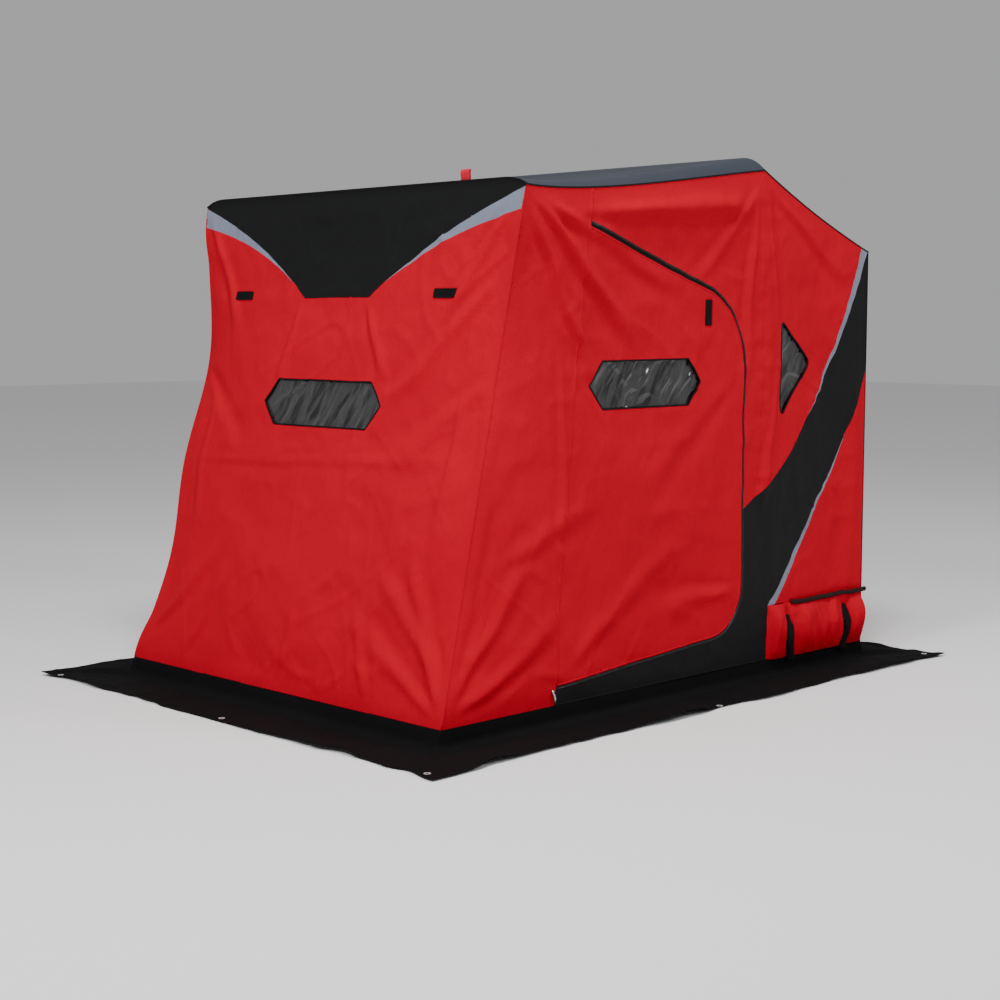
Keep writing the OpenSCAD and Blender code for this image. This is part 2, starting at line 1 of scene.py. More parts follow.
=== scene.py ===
# Looks of a flip-over ice fishing shelter: the fabric skin, doors, windows, zips, skirt and trim.
import bmesh
import bpy
import itertools
import math
import numpy as np
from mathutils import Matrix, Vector, geometry
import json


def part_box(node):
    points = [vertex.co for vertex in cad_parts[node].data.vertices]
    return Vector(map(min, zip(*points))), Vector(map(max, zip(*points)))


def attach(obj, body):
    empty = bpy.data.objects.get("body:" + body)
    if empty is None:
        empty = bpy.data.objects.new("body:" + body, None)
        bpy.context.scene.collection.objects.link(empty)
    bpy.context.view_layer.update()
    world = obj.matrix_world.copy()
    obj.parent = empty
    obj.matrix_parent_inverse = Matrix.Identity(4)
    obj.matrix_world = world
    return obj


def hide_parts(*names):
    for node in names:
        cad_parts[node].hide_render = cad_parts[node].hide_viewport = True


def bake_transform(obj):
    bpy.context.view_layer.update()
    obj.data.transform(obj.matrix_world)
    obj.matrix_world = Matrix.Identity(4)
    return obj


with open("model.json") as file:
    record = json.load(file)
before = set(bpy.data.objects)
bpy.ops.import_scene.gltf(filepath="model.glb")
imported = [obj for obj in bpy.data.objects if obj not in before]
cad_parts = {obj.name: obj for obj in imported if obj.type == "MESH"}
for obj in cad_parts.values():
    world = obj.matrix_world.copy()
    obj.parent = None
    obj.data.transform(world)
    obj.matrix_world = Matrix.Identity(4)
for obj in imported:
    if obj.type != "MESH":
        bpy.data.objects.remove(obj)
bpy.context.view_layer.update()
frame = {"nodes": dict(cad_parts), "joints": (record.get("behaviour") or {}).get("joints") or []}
nodes = frame["nodes"]

# ---- Sizes read from the frame, in metres ------------------------------------------------------------
# s is the distance behind the front wall's foot, z the height, and w the way up the leaning front wall.


def points_of(name):
    me = nodes[name].data
    co = np.zeros(len(me.vertices) * 3)
    me.vertices.foreach_get("co", co)
    return co.reshape(-1, 3)


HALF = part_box("side_hems")[1].x                                 # half the width between the side walls
Y0, Y1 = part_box("front_skirt")[1].y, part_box("rear_skirt")[0].y  # feet of the front and rear walls
DEPTH = Y1 - Y0
SKIRT = Y0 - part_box("front_skirt")[0].y
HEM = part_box("side_hems")[1].z
roof_points, rear_points = points_of("roof_panel"), points_of("rear_roof_panel")
FRONT_S, MAIN_S = roof_points[:, 1].min() - Y0, roof_points[:, 1].max() - Y0


def bow_height(co, y, edge):
    """Underside of the roof on a bow, at its ends or over its middle."""
    row = co[np.abs(co[:, 1] - y) < 1e-3]
    x = np.abs(row[:, 0])
    return row[x > HALF - 1e-3 if edge else x < HALF - 0.1][:, 2].min()


# height of each bow at the side walls, and its crown, which is how much higher its middle is
FRONT_H, FRONT_C = (bow_height(roof_points, Y0 + FRONT_S, e) for e in (True, False))
MAIN_H, MAIN_C = (bow_height(roof_points, Y0 + MAIN_S, e) for e in (True, False))
REAR_H, REAR_C = (bow_height(rear_points, Y1, e) for e in (True, False))
FRONT_C, MAIN_C, REAR_C = FRONT_C - FRONT_H, MAIN_C - MAIN_H, REAR_C - REAR_H
SHOULDER = 0.11                                                 # width of the bows' round ends
LEAN = math.atan(FRONT_S / FRONT_H)
SLOPE = FRONT_H / math.cos(LEAN)
right_hinge = next(j for j in frame["joints"] if j["name"] == "right_door_hinge")
HINGE_S, HINGE_Z = right_hinge["pos_m"][1] - Y0, right_hinge["pos_m"][2]
HINGE_RUN = right_hinge["axis"][1] / right_hinge["axis"][2]
CLOTH = 0.004
PIPE = 0.0034                                                   # radius of the roof's piping

# ---- Small helpers -----------------------------------------------------------------------------------


def smooth(a, b, x):
    t = np.clip((x - a) / (b - a), 0, 1)
    return t * t * (3 - 2 * t)


def noise(p, size, seed=0):
    """Smooth noise from -1 to 1 at the points p, in cells of that size."""
    q = np.atleast_2d(p) / size
    i = np.floor(q).astype(np.int64)
    f = q - i
    f = f * f * f * (f * (f * 6 - 15) + 10)
    total = np.zeros(len(q))
    for corner in itertools.product((0, 1), repeat=q.shape[1]):
        c = np.array(corner)
        w = np.prod(np.where(c, f, 1 - f), axis=1)
        h = (i + c) @ np.array([73856093, 19349663, 83492791][: q.shape[1]]) + seed * 26544357
        h = (h ^ (h >> 13)) * 1274126177 & 0xFFFFFFFF
        h = (h ^ (h >> 16)) * 668265263 & 0xFFFFFFFF
        total += w * (((h ^ (h >> 15)) & 0xFFFF) / 32767.5 - 1)
    return total


def fbm(p, size, seed=0, octaves=3):
    return sum(noise(p, size / 2 ** k, seed + 17 * k) * 0.5 ** k for k in range(octaves))


def ridged(p, size, seed=0):
    """Creases: sharp ridges with soft valleys, from about -0.5 to 0.5."""
    return 0.5 - np.abs(noise(p, size, seed)) * 1.6


def fold(p, a, b, width, high, wander=0.02, seed=1):
    """A soft fold of the cloth from a to b, high at its crest, that tapers out at both ends."""
    a, b = np.array(a, float), np.array(b, float)
    d = b - a
    length = np.hypot(*d)
    t = ((p - a) @ d) / length ** 2
    off = ((p[:, 0] - a[0]) * d[1] - (p[:, 1] - a[1]) * d[0]) / length
    off = off + wander * noise(p, 0.22, seed)
    ends = smooth(-0.05, 0.25, t) * smooth(1.05, 0.7, t)
    w = width * (0.55 + 0.6 * np.clip(t, 0, 1))
    return high * ends * (np.exp(-(off / w) ** 2) - 0.45 * np.exp(-((off - 1.5 * w) / w) ** 2))


def along(p, line):
    """Distance of each point to a polyline, and how far along the line the nearest place is."""
    best, place, run = np.full(len(p), 9.0), np.zeros(len(p)), 0.0
    for a, b in zip(line[:-1], line[1:]):
        d = b - a
        length = np.hypot(*d)
        if length < 1e-6:
            continue
        t = np.clip(((p - a) @ d) / length ** 2, 0, 1)
        dist = np.hypot(*(p - a - t[:, None] * d).T)
        nearer = dist < best
        best[nearer], place[nearer] = dist[nearer], (run + t * length)[nearer]
        run += length
    return best, place


def creases(p, angle, size, stretch, seed=1):
    """Sharp creases that mostly run along that angle, in patches, from 0 to 1."""
    c, s = math.cos(angle), math.sin(angle)
    q = np.stack([(p[:, 0] * c + p[:, 1] * s) / stretch, -p[:, 0] * s + p[:, 1] * c], 1)
    q = q + 0.35 * size * np.stack([noise(p, size * 2.5, seed + 3), noise(p, size * 2.5, seed + 4)], 1)
    crest = np.maximum(1 - np.abs(noise(q, size, seed)) * 4.5, 0) ** 1.3
    return crest * smooth(-0.35, 0.45, noise(p, 0.42, seed + 5))


def pucker(p, line, reach=0.035, high=0.002, size=0.05, seed=3):
    """Short gathers that run away from a sewn line."""
    dist, place = along(p, line)
    q = np.stack([place, dist * 0.25], 1)
    return high * np.exp(-(dist / reach) ** 1.5) * (noise(q, size, seed) + 0.6 * noise(q, size * 0.5, seed + 5))


# ---- Outlines of the flat cut pieces, from the frame's nodes -----------------------------------------


def resample(loop, step, closed=True):
    out = []
    pairs = list(zip(loop, np.roll(loop, -1, 0))) if closed else list(zip(loop[:-1], loop[1:]))
    for a, b in pairs:
        n = max(1, int(math.ceil(np.hypot(*(b - a)) / step)))
        out += [a + (b - a) * k / n for k in range(n)]
    if not closed:
        out.append(loop[-1])
    return np.array(out)


def area_of(loop):
    x, y = loop[:, 0], loop[:, 1]
    return 0.5 * float(np.sum(x * np.roll(y, -1) - y * np.roll(x, -1)))


def outlines(name, face):
    """The closed outlines of a node's outer faces, as (outer loop, its holes), in that face's own plane."""
    origin, e1, e2 = (np.array(v, float) for v in face)
    n = np.cross(e1, e2)
    me = nodes[name].data
    me.calc_loop_triangles()
    tri = np.zeros(len(me.loop_triangles) * 3, np.int64)
    me.loop_triangles.foreach_get("vertices", tri)
    co = points_of(name)
    _, first, same = np.unique(np.round(co, 5), axis=0, return_index=True, return_inverse=True)
    same = same.ravel()
    tri = same[tri.reshape(-1, 3)]
    uniq = co[first]
    ok = uniq[:, 0] > 0 if n[0] > 0.5 else np.full(len(uniq), True)
    h = (uniq - origin) @ n
    top = h[ok].max()
    flat = (h > top - 2e-4) & ok
    tri = tri[flat[tri].all(1)]
    tri = tri[(tri[:, 0] != tri[:, 1]) & (tri[:, 1] != tri[:, 2]) & (tri[:, 0] != tri[:, 2])]
    edges = {}
    for a, b, c in tri:
        for u, v in ((a, b), (b, c), (c, a)):
            edges[(u, v)] = True
    border = {}
    for u, v in edges:
        if (v, u) not in edges:
            border.setdefault(u, []).append(v)
    loops = []
    while border:
        u = next(iter(border))
        loop = []
        while u in border:
            v = border[u].pop()
            if not border[u]:
                del border[u]
            loop.append(u)
            u = v
        if len(loop) > 2:
            q = uniq[loop] - origin
            loops.append(np.stack([q @ e1, q @ e2], 1))
    outer = [l for l in loops if area_of(l) > 0]
    holes = [l for l in loops if area_of(l) <= 0]
    return [(o, [h for h in holes if inside(h[:1] * 0.999 + h[1:2] * 0.001, [o])[0]]) for o in outer]


def inside(p, loops):
    hit = np.zeros(len(p), bool)
    for loop in loops:
        for a, b in zip(loop, np.roll(loop, -1, 0)):
            if a[1] == b[1]:
                continue
            cross = ((a[1] > p[:, 1]) != (b[1] > p[:, 1])) & (
                p[:, 0] < (b[0] - a[0]) * (p[:, 1] - a[1]) / (b[1] - a[1]) + a[0])
            hit ^= cross
    return hit


def near_edge(p, loops, reach):
    close = np.zeros(len(p), bool)
    for loop in loops:
        for a, b in zip(loop, np.roll(loop, -1, 0)):
            lo, hi = np.minimum(a, b) - reach, np.maximum(a, b) + reach
            m = np.flatnonzero((p[:, 0] > lo[0]) & (p[:, 0] < hi[0]) & (p[:, 1] > lo[1]) & (p[:, 1] < hi[1]))
            if len(m) == 0:
                continue
            d = b - a
            t = np.clip(((p[m] - a) @ d) / max(d @ d, 1e-12), 0, 1)
            close[m] |= np.hypot(*(p[m] - a - t[:, None] * d).T) < reach
    return close


def fill(outer, holes, step):
    """A flat triangle mesh of a cut piece, with points all over it."""
    loops = [resample(l, step) for l in [outer, *holes]]
    lo, hi = outer.min(0), outer.max(0)
    rows = []
    for r, y in enumerate(np.arange(lo[1], hi[1], step * 0.866)):
        x = np.arange(lo[0] + (r % 2) * step / 2, hi[0], step)
        rows.append(np.stack([x, np.full(len(x), y)], 1))
    grid = np.concatenate(rows) if rows else np.zeros((0, 2))
    grid = grid[inside(grid, loops)]
    grid = grid[~near_edge(grid, loops, step * 0.55)]
    edges, start = [], 0
    for l in loops:
        edges += [(start + k, start + (k + 1) % len(l)) for k in range(len(l))]
        start += len(l)
    every = np.concatenate([*loops, grid])
    res = geometry.delaunay_2d_cdt([Vector(p) for p in every], edges, [], 0, 1e-7)
    co = np.array([v[:] for v in res[0]])
    tri = np.array([f for f in res[2] if len(f) == 3])
    a, b, c = co[tri[:, 0]], co[tri[:, 1]], co[tri[:, 2]]
    tri = tri[inside((a + b + c) / 3, loops)]
    a, b, c = co[tri[:, 0]], co[tri[:, 1]], co[tri[:, 2]]
    turn = (b[:, 0] - a[:, 0]) * (c[:, 1] - a[:, 1]) - (b[:, 1] - a[:, 1]) * (c[:, 0] - a[:, 0])
    tri[turn < 0] = tri[turn < 0][:, ::-1]
    used = np.unique(tri)
    index = np.full(len(co), -1)
    index[used] = np.arange(len(used))
    return co[used], index[tri[np.abs(turn) > 1e-10]], abs(float(np.sum(np.abs(turn)) / 2))


# ---- Materials ---------------------------------------------------------------------------------------


def shader(name):
    mat = bpy.data.materials.new(name)
    mat.use_nodes = True
    nt = mat.node_tree
    return mat, nt, nt.nodes["Principled BSDF"]


def add(nt, kind, **values):
    """A new shader node with those input values. An underscore stands for a space in an input's name."""
    node = nt.nodes.new("ShaderNode" + kind)
    put(node, **values)
    return node


def put(node, **values):
    for name, value in values.items():
        node.inputs[name.replace("_", " ")].default_value = value


def texture(nt, kind, vector, **values):
    """A texture node that reads that vector."""
    node = add(nt, "Tex" + kind, **values)
    nt.links.new(vector, node.inputs["Vector"])
    return node


def shades(nt, factor, dark, light):
    """A colour between dark and light, by that factor."""
    mix = nt.nodes.new("ShaderNodeMix")
    mix.data_type = "RGBA"
    mix.inputs["A"].default_value = (*dark, 1)
    mix.inputs["B"].default_value = (*light, 1)
    nt.links.new(factor, mix.inputs["Factor"])
    return mix.outputs["Result"]


def uneven(colour, vary):
    return [c * (1 - vary) for c in colour], [min(1, c * (1 + vary)) for c in colour]


def maths(nt, operation, *terms):
    node = nt.nodes.new("ShaderNodeMath")
    node.operation = operation
    for k, term in enumerate(terms):
        if isinstance(term, float):
            node.inputs[k].default_value = term
        else:
            nt.links.new(term, node.inputs[k])
    return node.outputs[0]


def bump(nt, height, distance, strength, under=None):
    node = add(nt, "Bump", Distance=distance, Strength=strength)
    nt.links.new(height, node.inputs["Height"])
    if under:
        nt.links.new(under, node.inputs["Normal"])
    return node.outputs["Normal"]


def fabric(name, colour, rough=0.75, weave=0.0016, sheen=0.25, vary=0.10, crease=0.0009, shine=0.12):
    """Woven cloth: fine crossing threads, small creases and slightly uneven colour."""
    mat, nt, bsdf = shader(name)
    put(bsdf, Roughness=rough, Sheen_Weight=sheen, Sheen_Roughness=0.4, Specular_IOR_Level=shine)
    tex = nt.nodes.new("ShaderNodeTexCoord")
    cloud = texture(nt, "Noise", tex.outputs["Object"], Scale=3.0, Detail=6.0)
    fine = texture(nt, "Noise", tex.outputs["Object"], Scale=42.0, Detail=5.0)
    threads = [texture(nt, "Wave", tex.outputs["UV"], Scale=0.314 / weave, Distortion=0.3) for _ in range(2)]
    threads[1].bands_direction = "Y"
    both = maths(nt, "MULTIPLY", threads[0].outputs["Fac"], threads[1].outputs["Fac"])
    shade = nt.nodes.new("ShaderNodeMix")
    shade.data_type = "RGBA"
    shade.blend_type = "MULTIPLY"
    shade.inputs["B"].default_value = (0.82, 0.82, 0.82, 1)
    nt.links.new(maths(nt, "SUBTRACT", 0.5, both), shade.inputs["Factor"])
    nt.links.new(shades(nt, cloud.outputs["Fac"], *uneven(colour, vary)), shade.inputs["A"])
    nt.links.new(shade.outputs["Result"], bsdf.inputs["Base Color"])
    small = bump(nt, fine.outputs["Fac"], crease, 0.8)
    nt.links.new(bump(nt, both, weave * 0.12, 0.6, small), bsdf.inputs["Normal"])
    return mat


def hard(name, colour, rough, metal=0.0, grain=60.0, depth=0.0002, vary=0.15, coat=0.0):
    """Metal or plastic with a fine uneven surface."""
    mat, nt, bsdf = shader(name)
    put(bsdf, Metallic=metal, Coat_Weight=coat)
    tex = nt.nodes.new("ShaderNodeTexCoord")
    n = texture(nt, "Noise", tex.outputs["Object"], Scale=grain, Detail=6.0).outputs["Fac"]
    nt.links.new(shades(nt, n, *uneven(colour, vary)), bsdf.inputs["Base Color"])
    spread = add(nt, "MapRange", To_Min=max(0.02, rough - 0.08), To_Max=min(1, rough + 0.08))
    nt.links.new(n, spread.inputs["Value"])
    nt.links.new(spread.outputs["Result"], bsdf.inputs["Roughness"])
    nt.links.new(bump(nt, n, depth, 0.5), bsdf.inputs["Normal"])
    return mat


def crease_shade_streaks(mat, angle, dark, light):
    """Slanting dark streaks painted into the clear vinyl's colour, in the sheet's own plane: painted shade
    along its creases.
    """
    nt = mat.node_tree
    tex = nt.nodes.new("ShaderNodeTexCoord")
    turn = add(nt, "Mapping", Rotation=(0, 0, -angle), Scale=(5.0, 5.0, 5.0))
    nt.links.new(tex.outputs["UV"], turn.inputs["Vector"])
    long = add(nt, "Mapping", Scale=(1.0, 5.5, 1.0))
    nt.links.new(turn.outputs["Vector"], long.inputs["Vector"])
    n = texture(nt, "Noise", long.outputs["Vector"], Scale=1.0, Detail=3.0)
    edge = add(nt, "MapRange", From_Min=0.40, From_Max=0.52)
    nt.links.new(n.outputs["Fac"], edge.inputs["Value"])
    colour = shades(nt, edge.outputs["Result"], dark, light)
    nt.links.new(colour, nt.nodes["Principled BSDF"].inputs["Base Color"])


RED = (0.46, 0.0, 0.0135)
BLACK = (0.0045, 0.0047, 0.0052)
# the roof's dark cloth, lightened and blued: the sky's sheen along its top is painted into its colour (painted
# sheen)
ROOF_DARK_AND_SHEEN = (0.024, 0.030, 0.044)
SKIRT_BLACK = (0.004, 0.004, 0.0042)
m_red = fabric("red_fabric", RED, rough=0.8, sheen=0.0, vary=0.08, crease=0.0014, shine=0.07)
m_black = fabric("black_fabric", BLACK, rough=0.62, sheen=0.0, vary=0.25, crease=0.0013, shine=0.14)
m_roof_and_sheen = fabric("roof_fabric", ROOF_DARK_AND_SHEEN, rough=0.56, sheen=0.0, vary=0.2, crease=0.0014, shine=0.3)
m_grey = fabric("grey_fabric", (0.18, 0.20, 0.26), rough=0.6, sheen=0.0, vary=0.08)
m_skirt = fabric("skirt_fabric", SKIRT_BLACK, rough=0.85, sheen=0.0, vary=0.35, crease=0.0018, shine=0.08)
m_lining = fabric("lining", (0.02, 0.02, 0.022), rough=0.9, sheen=0.1, vary=0.2)
m_binding = fabric("binding", (0.004, 0.0038, 0.0038), rough=0.7, weave=0.0012, sheen=0.0, vary=0.2, shine=0.1)
m_webbing = fabric("webbing", (0.0035, 0.0035, 0.0037), rough=0.7, weave=0.0022, sheen=0.0, vary=0.2, shine=0.1)
m_tag = fabric("tag", (0.50, 0.004, 0.02), rough=0.5, weave=0.0015, sheen=0.2, vary=0.08)
# painted shade: the hem's dark red-brown stands for the shadow under the fold of the wall's hem
m_hem_shade = fabric("flap_hem_painted_shade", (0.020, 0.006, 0.006), rough=0.7, weave=0.0012, sheen=0.0, vary=0.25)
m_vinyl = hard("vinyl", (0.022, 0.022, 0.023), 0.15, grain=16.0, depth=0.0012, vary=0.7, coat=0.4)
# painted shade: dark streaks along the clear vinyl's creases, put into its colour
crease_shade_streaks(m_vinyl, 1.05, (0.0025, 0.0025, 0.0028), (0.027, 0.027, 0.028))
m_zip = hard("zip_teeth", (0.012, 0.012, 0.013), 0.35, grain=300.0, vary=0.2)
m_pull = hard("zip_pull", (0.5, 0.5, 0.52), 0.3, metal=1.0, grain=200.0)
m_pole = hard("poles", (0.045, 0.046, 0.05), 0.38, metal=0.3, grain=120.0)
m_fit = hard("fittings", (0.016, 0.016, 0.017), 0.5, grain=180.0)
m_bracket = hard("bracket_steel", (0.07, 0.07, 0.075), 0.42, metal=0.6, grain=140.0)
m_sled = hard("sled_plastic", (0.016, 0.016, 0.018), 0.45, grain=220.0, depth=0.0004)
m_eyelet = hard("grommet_metal", (0.60, 0.60, 0.62), 0.32, metal=0.35, grain=150.0)

# ---- Making meshes -----------------------------------------------------------------------------------


def vertex_normals(co, faces):
    n = np.zeros_like(co)
    f = np.asarray(faces)
    if f.shape[1] == 3:
        fn = np.cross(co[f[:, 1]] - co[f[:, 0]], co[f[:, 2]] - co[f[:, 0]])
    else:
        fn = np.cross(co[f[:, 2]] - co[f[:, 0]], co[f[:, 3]] - co[f[:, 1]])
    for k in range(f.shape[1]):
        np.add.at(n, f[:, k], fn)
    return n / np.maximum(np.linalg.norm(n, axis=1, keepdims=True), 1e-12)


def mesh_object(name, co, faces, mats, body, slot=None, stands=(), uv=None, which=None, sharp=None, flat=False):
    me = bpy.data.meshes.new(name)
    me.from_pydata([tuple(v) for v in co.tolist()], [], [tuple(f) for f in faces])
    for m in mats:
        me.materials.append(m)
    me.polygons.foreach_set("use_smooth", [not flat] * len(me.polygons))
    if which is not None:
        me.polygons.foreach_set("material_index", list(which))
    if uv is not None:
        layer = me.uv_layers.new(name="cut")
        index = np.zeros(len(me.loops), np.int64)
        me.loops.foreach_get("vertex_index", index)
        layer.data.foreach_set("uv", np.asarray(uv, np.float32)[index].ravel())
    if sharp is not None and len(sharp):
        ends = np.zeros(len(me.edges) * 2, np.int64)
        me.edges.foreach_get("vertices", ends)
        ends = np.sort(ends.reshape(-1, 2), 1)
        code = ends[:, 0] * 4000003 + ends[:, 1]
        want = np.sort(np.asarray(sharp), 1)
        marked = np.isin(code, want[:, 0] * 4000003 + want[:, 1])
        attr = me.attributes.new("sharp_edge", "BOOLEAN", "EDGE")
        attr.data.foreach_set("value", marked)
    me.update()
    o = bpy.data.objects.new(name, me)
    bpy.context.scene.collection.objects.link(o)
    if stands:
        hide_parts(*stands)
    if isinstance(body, str):
        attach(o, body)
    return o


def thick(co, tri, t, uv):
    """A closed sheet: co is its outer face, and its inner face lies t behind."""
    n = vertex_normals(co, tri)
    k = len(co)
    edges = np.concatenate([tri[:, [0, 1]], tri[:, [1, 2]], tri[:, [2, 0]]])
    code = edges[:, 0] * 4000003 + edges[:, 1]
    back = edges[:, 1] * 4000003 + edges[:, 0]
    rim = edges[~np.isin(code, back)]
    faces = tri.tolist() + (tri[:, ::-1] + k).tolist() + [[a, a + k, b + k, b] for a, b in rim.tolist()]
    which = [0] * len(tri) + [1] * len(tri) + [0] * len(rim)
    sharp = np.concatenate([rim, rim + k])
    return np.concatenate([co, co - n * t]), faces, which, sharp, np.concatenate([uv, uv])


def grid_faces(rows, cols):
    """Two triangles for each cell of a grid of points, rows of cols points each."""
    c = (np.arange(rows - 1)[:, None] * cols + np.arange(cols - 1)).reshape(-1, 1)
    return np.concatenate([c + [0, cols + 1, 1], c + [0, cols, cols + 1]], 1).reshape(-1, 3)


def flat_size(area, loop):
    """Width and length of the cloth a piece is cut from."""
    best = None
    for deg in range(0, 90, 3):
        c, s = math.cos(math.radians(deg)), math.sin(math.radians(deg))
        q = loop @ np.array([[c, -s], [s, c]])
        w, l = np.ptp(q[:, 0]), np.ptp(q[:, 1])
        if best is None or w * l < best[0] * best[1]:
            best = (w, l)
    if area < 0.34 * best[0] * best[1]:
        around = float(np.sum(np.hypot(*(loop - np.roll(loop, -1, 0)).T)))
        long = around / 2
        best = (max(0.0101, area / (0.6 * long)), long)
    return best, min(area, best[0] * best[1])


cloths, sewn = [], {}


def sew(trim, cloth):
    """A seam, hem, binding or piping is part of that cloth."""
    sewn.setdefault(cloth, []).append(trim)
    return trim


def sheet_piece(name, outer, holes, place, mats, body, slot, stands=(), step=0.013, t=CLOTH, held="stretched",
                rests=("corner_hubs",), mirror=False):
    """One cut piece of cloth, laid on the surface that place() gives."""
    flat, tri, area = fill(outer, holes, step)
    co = place(flat)
    if mirror:
        tri = tri[:, ::-1]
    co, faces, which, sharp, uv = thick(co, tri, t, flat)
    o = mesh_object(name, co, faces, mats, body, slot, stands, uv, which, sharp)
    size, area = flat_size(area, outer)
    cloths.append((o, dict(flat=size, held=held, rests_on=list(rests), area=area)))
    return o


def run_along(line):
    """How far along the line each of its points is."""
    return np.concatenate([[0], np.cumsum(np.linalg.norm(np.diff(line, axis=0), axis=1))])


def line_normal(place, q, h=0.004):
    """Places and outward normals of the surface at the flat points q."""
    a, b = place(q + [h, 0]), place(q - [h, 0])
    c, d = place(q + [0, h]), place(q - [0, h])
    n = np.cross(a - b, c - d)
    return place(q), n / np.linalg.norm(n, axis=1, keepdims=True)


def ribbon(name, line, place, width, high, mats, body, slot, closed=False, step=0.01, flip=1):
    """A narrow sewn strip, such as a seam or a binding, that follows a line on a surface."""
    q = resample(np.asarray(line, float), step, closed)
    co, n = line_normal(place, q)
    n = n * flip
    if closed:
        t = np.roll(co, -1, 0) - np.roll(co, 1, 0)
    else:
        t = np.gradient(co, axis=0)
    t /= np.linalg.norm(t, axis=1, keepdims=True)
    side = np.cross(n, t)
    run = run_along(co)
    half = [(0.5, -0.0012), (0.46, high * 0.8), (0.2, high)]
    shape = [(-a, b) for a, b in half] + half[::-1]
    rows = np.stack([co + side * (width * a) + n * b for a, b in shape], 1)
    k, m = len(co), len(shape)
    verts = rows.reshape(-1, 3)
    faces = []
    for i in range(k if closed else k - 1):
        j = (i + 1) % k
        for c in range(m):
            d = (c + 1) % m
            faces.append((i * m + c, i * m + d, j * m + d, j * m + c))
    if not closed:
        faces.append(tuple(range(m))[::-1])
        faces.append(tuple(range((k - 1) * m, k * m)))
    uv = np.stack([np.repeat(run, m), np.tile([a * width for a, _ in shape], k)], 1)
    o = mesh_object(name, verts, faces, mats, body, slot, uv=uv)
    fix_normals(o)
    return o


def sweep(centre, normals, shape):
    """A solid strip of that cross-section (across, out) along a line in space."""
    t = np.gradient(centre, axis=0)
    t /= np.linalg.norm(t, axis=1, keepdims=True)
    n = normals - t * np.sum(normals * t, axis=1, keepdims=True)
    n /= np.linalg.norm(n, axis=1, keepdims=True)
    side = np.cross(n, t)
    rows = np.stack([centre + side * a + n * b for a, b in shape], 1)
    k, m = len(centre), len(shape)
    faces = []
    for i in range(k - 1):
        for c in range(m):
            d = (c + 1) % m
            faces.append([i * m + c, i * m + d, (i + 1) * m + d, (i + 1) * m + c])
    faces.append(list(range(m))[::-1])
    faces.append(list(range((k - 1) * m, k * m)))
    return rows.reshape(-1, 3), faces


def circle(radius, n=8):
    turns = np.linspace(0, 2 * math.pi, n, endpoint=False)
    return [(radius * math.cos(a), radius * math.sin(a)) for a in turns]


def piping(name, line, facing, radius, sink, mat, slot, cloth):
    """A round cord sewn along the edge of that cloth, set back by sink from the way it faces."""
    n = np.tile(np.array(facing, float), (len(line), 1))
    v, f = sweep(line - n * sink, n, circle(radius))
    o = mesh_object(name, v, f, [mat], "shelter", slot)
    fix_normals(sew(o, cloth))


def fix_normals(o):
    bm = bmesh.new()
    bm.from_mesh(o.data)
    bmesh.ops.recalc_face_normals(bm, faces=bm.faces)
    bm.to_mesh(o.data)
    bm.free()


# ---- The shape of the skin ---------------------------------------------------------------------------


def corner_pull(z):
    """How far tension draws the front corners inwards at each height."""
    p = 0.078 * np.exp(-((z - 1.27) / 0.42) ** 2) + 0.056 * np.exp(-((z - 0.52) / 0.36) ** 2)
    return p * smooth(1.90, 1.66, z) * smooth(HEM - 0.01, 0.27, z)


def front_line(z):
    return FRONT_S * z / FRONT_H


def hinge_line(z):
    return HINGE_S + HINGE_RUN * (z - HINGE_Z)


def seam_height(s):
    return np.where(s < MAIN_S, FRONT_H + (MAIN_H - FRONT_H) * (s - FRONT_S) / (MAIN_S - FRONT_S),
                    MAIN_H + (REAR_H - MAIN_H) * (s - MAIN_S) / (DEPTH - MAIN_S))


def seam_sag(s):
    q = np.clip((s - FRONT_S) / (MAIN_S - FRONT_S), 0, 1)
    r = np.clip((s - MAIN_S) / (DEPTH - MAIN_S), 0, 1)
    return -0.027 * np.sin(math.pi * q ** 0.62) ** 1.2 - 0.015 * np.sin(math.pi * r ** 0.9)


RIGHT = ((HALF, Y0, 0), (0, 1, 0), (0, 0, 1))
FRONT = ((0, Y0, 0), (1, 0, 0), (0, math.sin(LEAN), math.cos(LEAN)))
REAR = ((0, Y1, 0), (-1, 0, 0), (0, 0, 1))
cut = {n: outlines(n, RIGHT) for n in (
    "right_front_strip", "right_header", "right_rear_panel", "right_band", "corner_panels", "sled_flaps",
    "quarter_windows", "side_accents", "flap_straps", "right_door", "right_door_window", "right_door_tab")}
cut.update({n: outlines(n, FRONT) for n in (
    "front_wall", "front_v_panel", "front_accents", "front_window", "front_tabs")})
cut.update({n: outlines(n, REAR) for n in ("rear_wall", "rear_top_panel", "rear_window")})


def closed_line(loop):
    return np.concatenate([loop, loop[:1]])


side_lines = [closed_line(cut[n][0][0]) for n in ("right_header", "right_rear_panel", "right_band")]
v_line = closed_line(cut["front_v_panel"][0][0])


def zip_path(outer):
    """The door's zipped edge, from the sewn edge's foot along the bottom, up the rear and over to its top."""
    foot = int(np.argmin(np.hypot(outer[:, 0] - HINGE_S, outer[:, 1] - HINGE_Z)))
    line = np.roll(outer, -foot, 0)
    top = int(np.argmax(line[:, 1]))
    return resample(line[: top + 1], 0.008, False)


zip_line = zip_path(cut["right_door"][0][0])
zip_line = zip_line[zip_line[:, 1] > HEM + 0.12][::6]
MAIN_POLE = np.array([[1.85, 0.345], [MAIN_S, 2.0]])
REAR_POLE = np.array([[DEPTH - 0.095, 0.345], [DEPTH - 0.035, REAR_H - 0.04]])
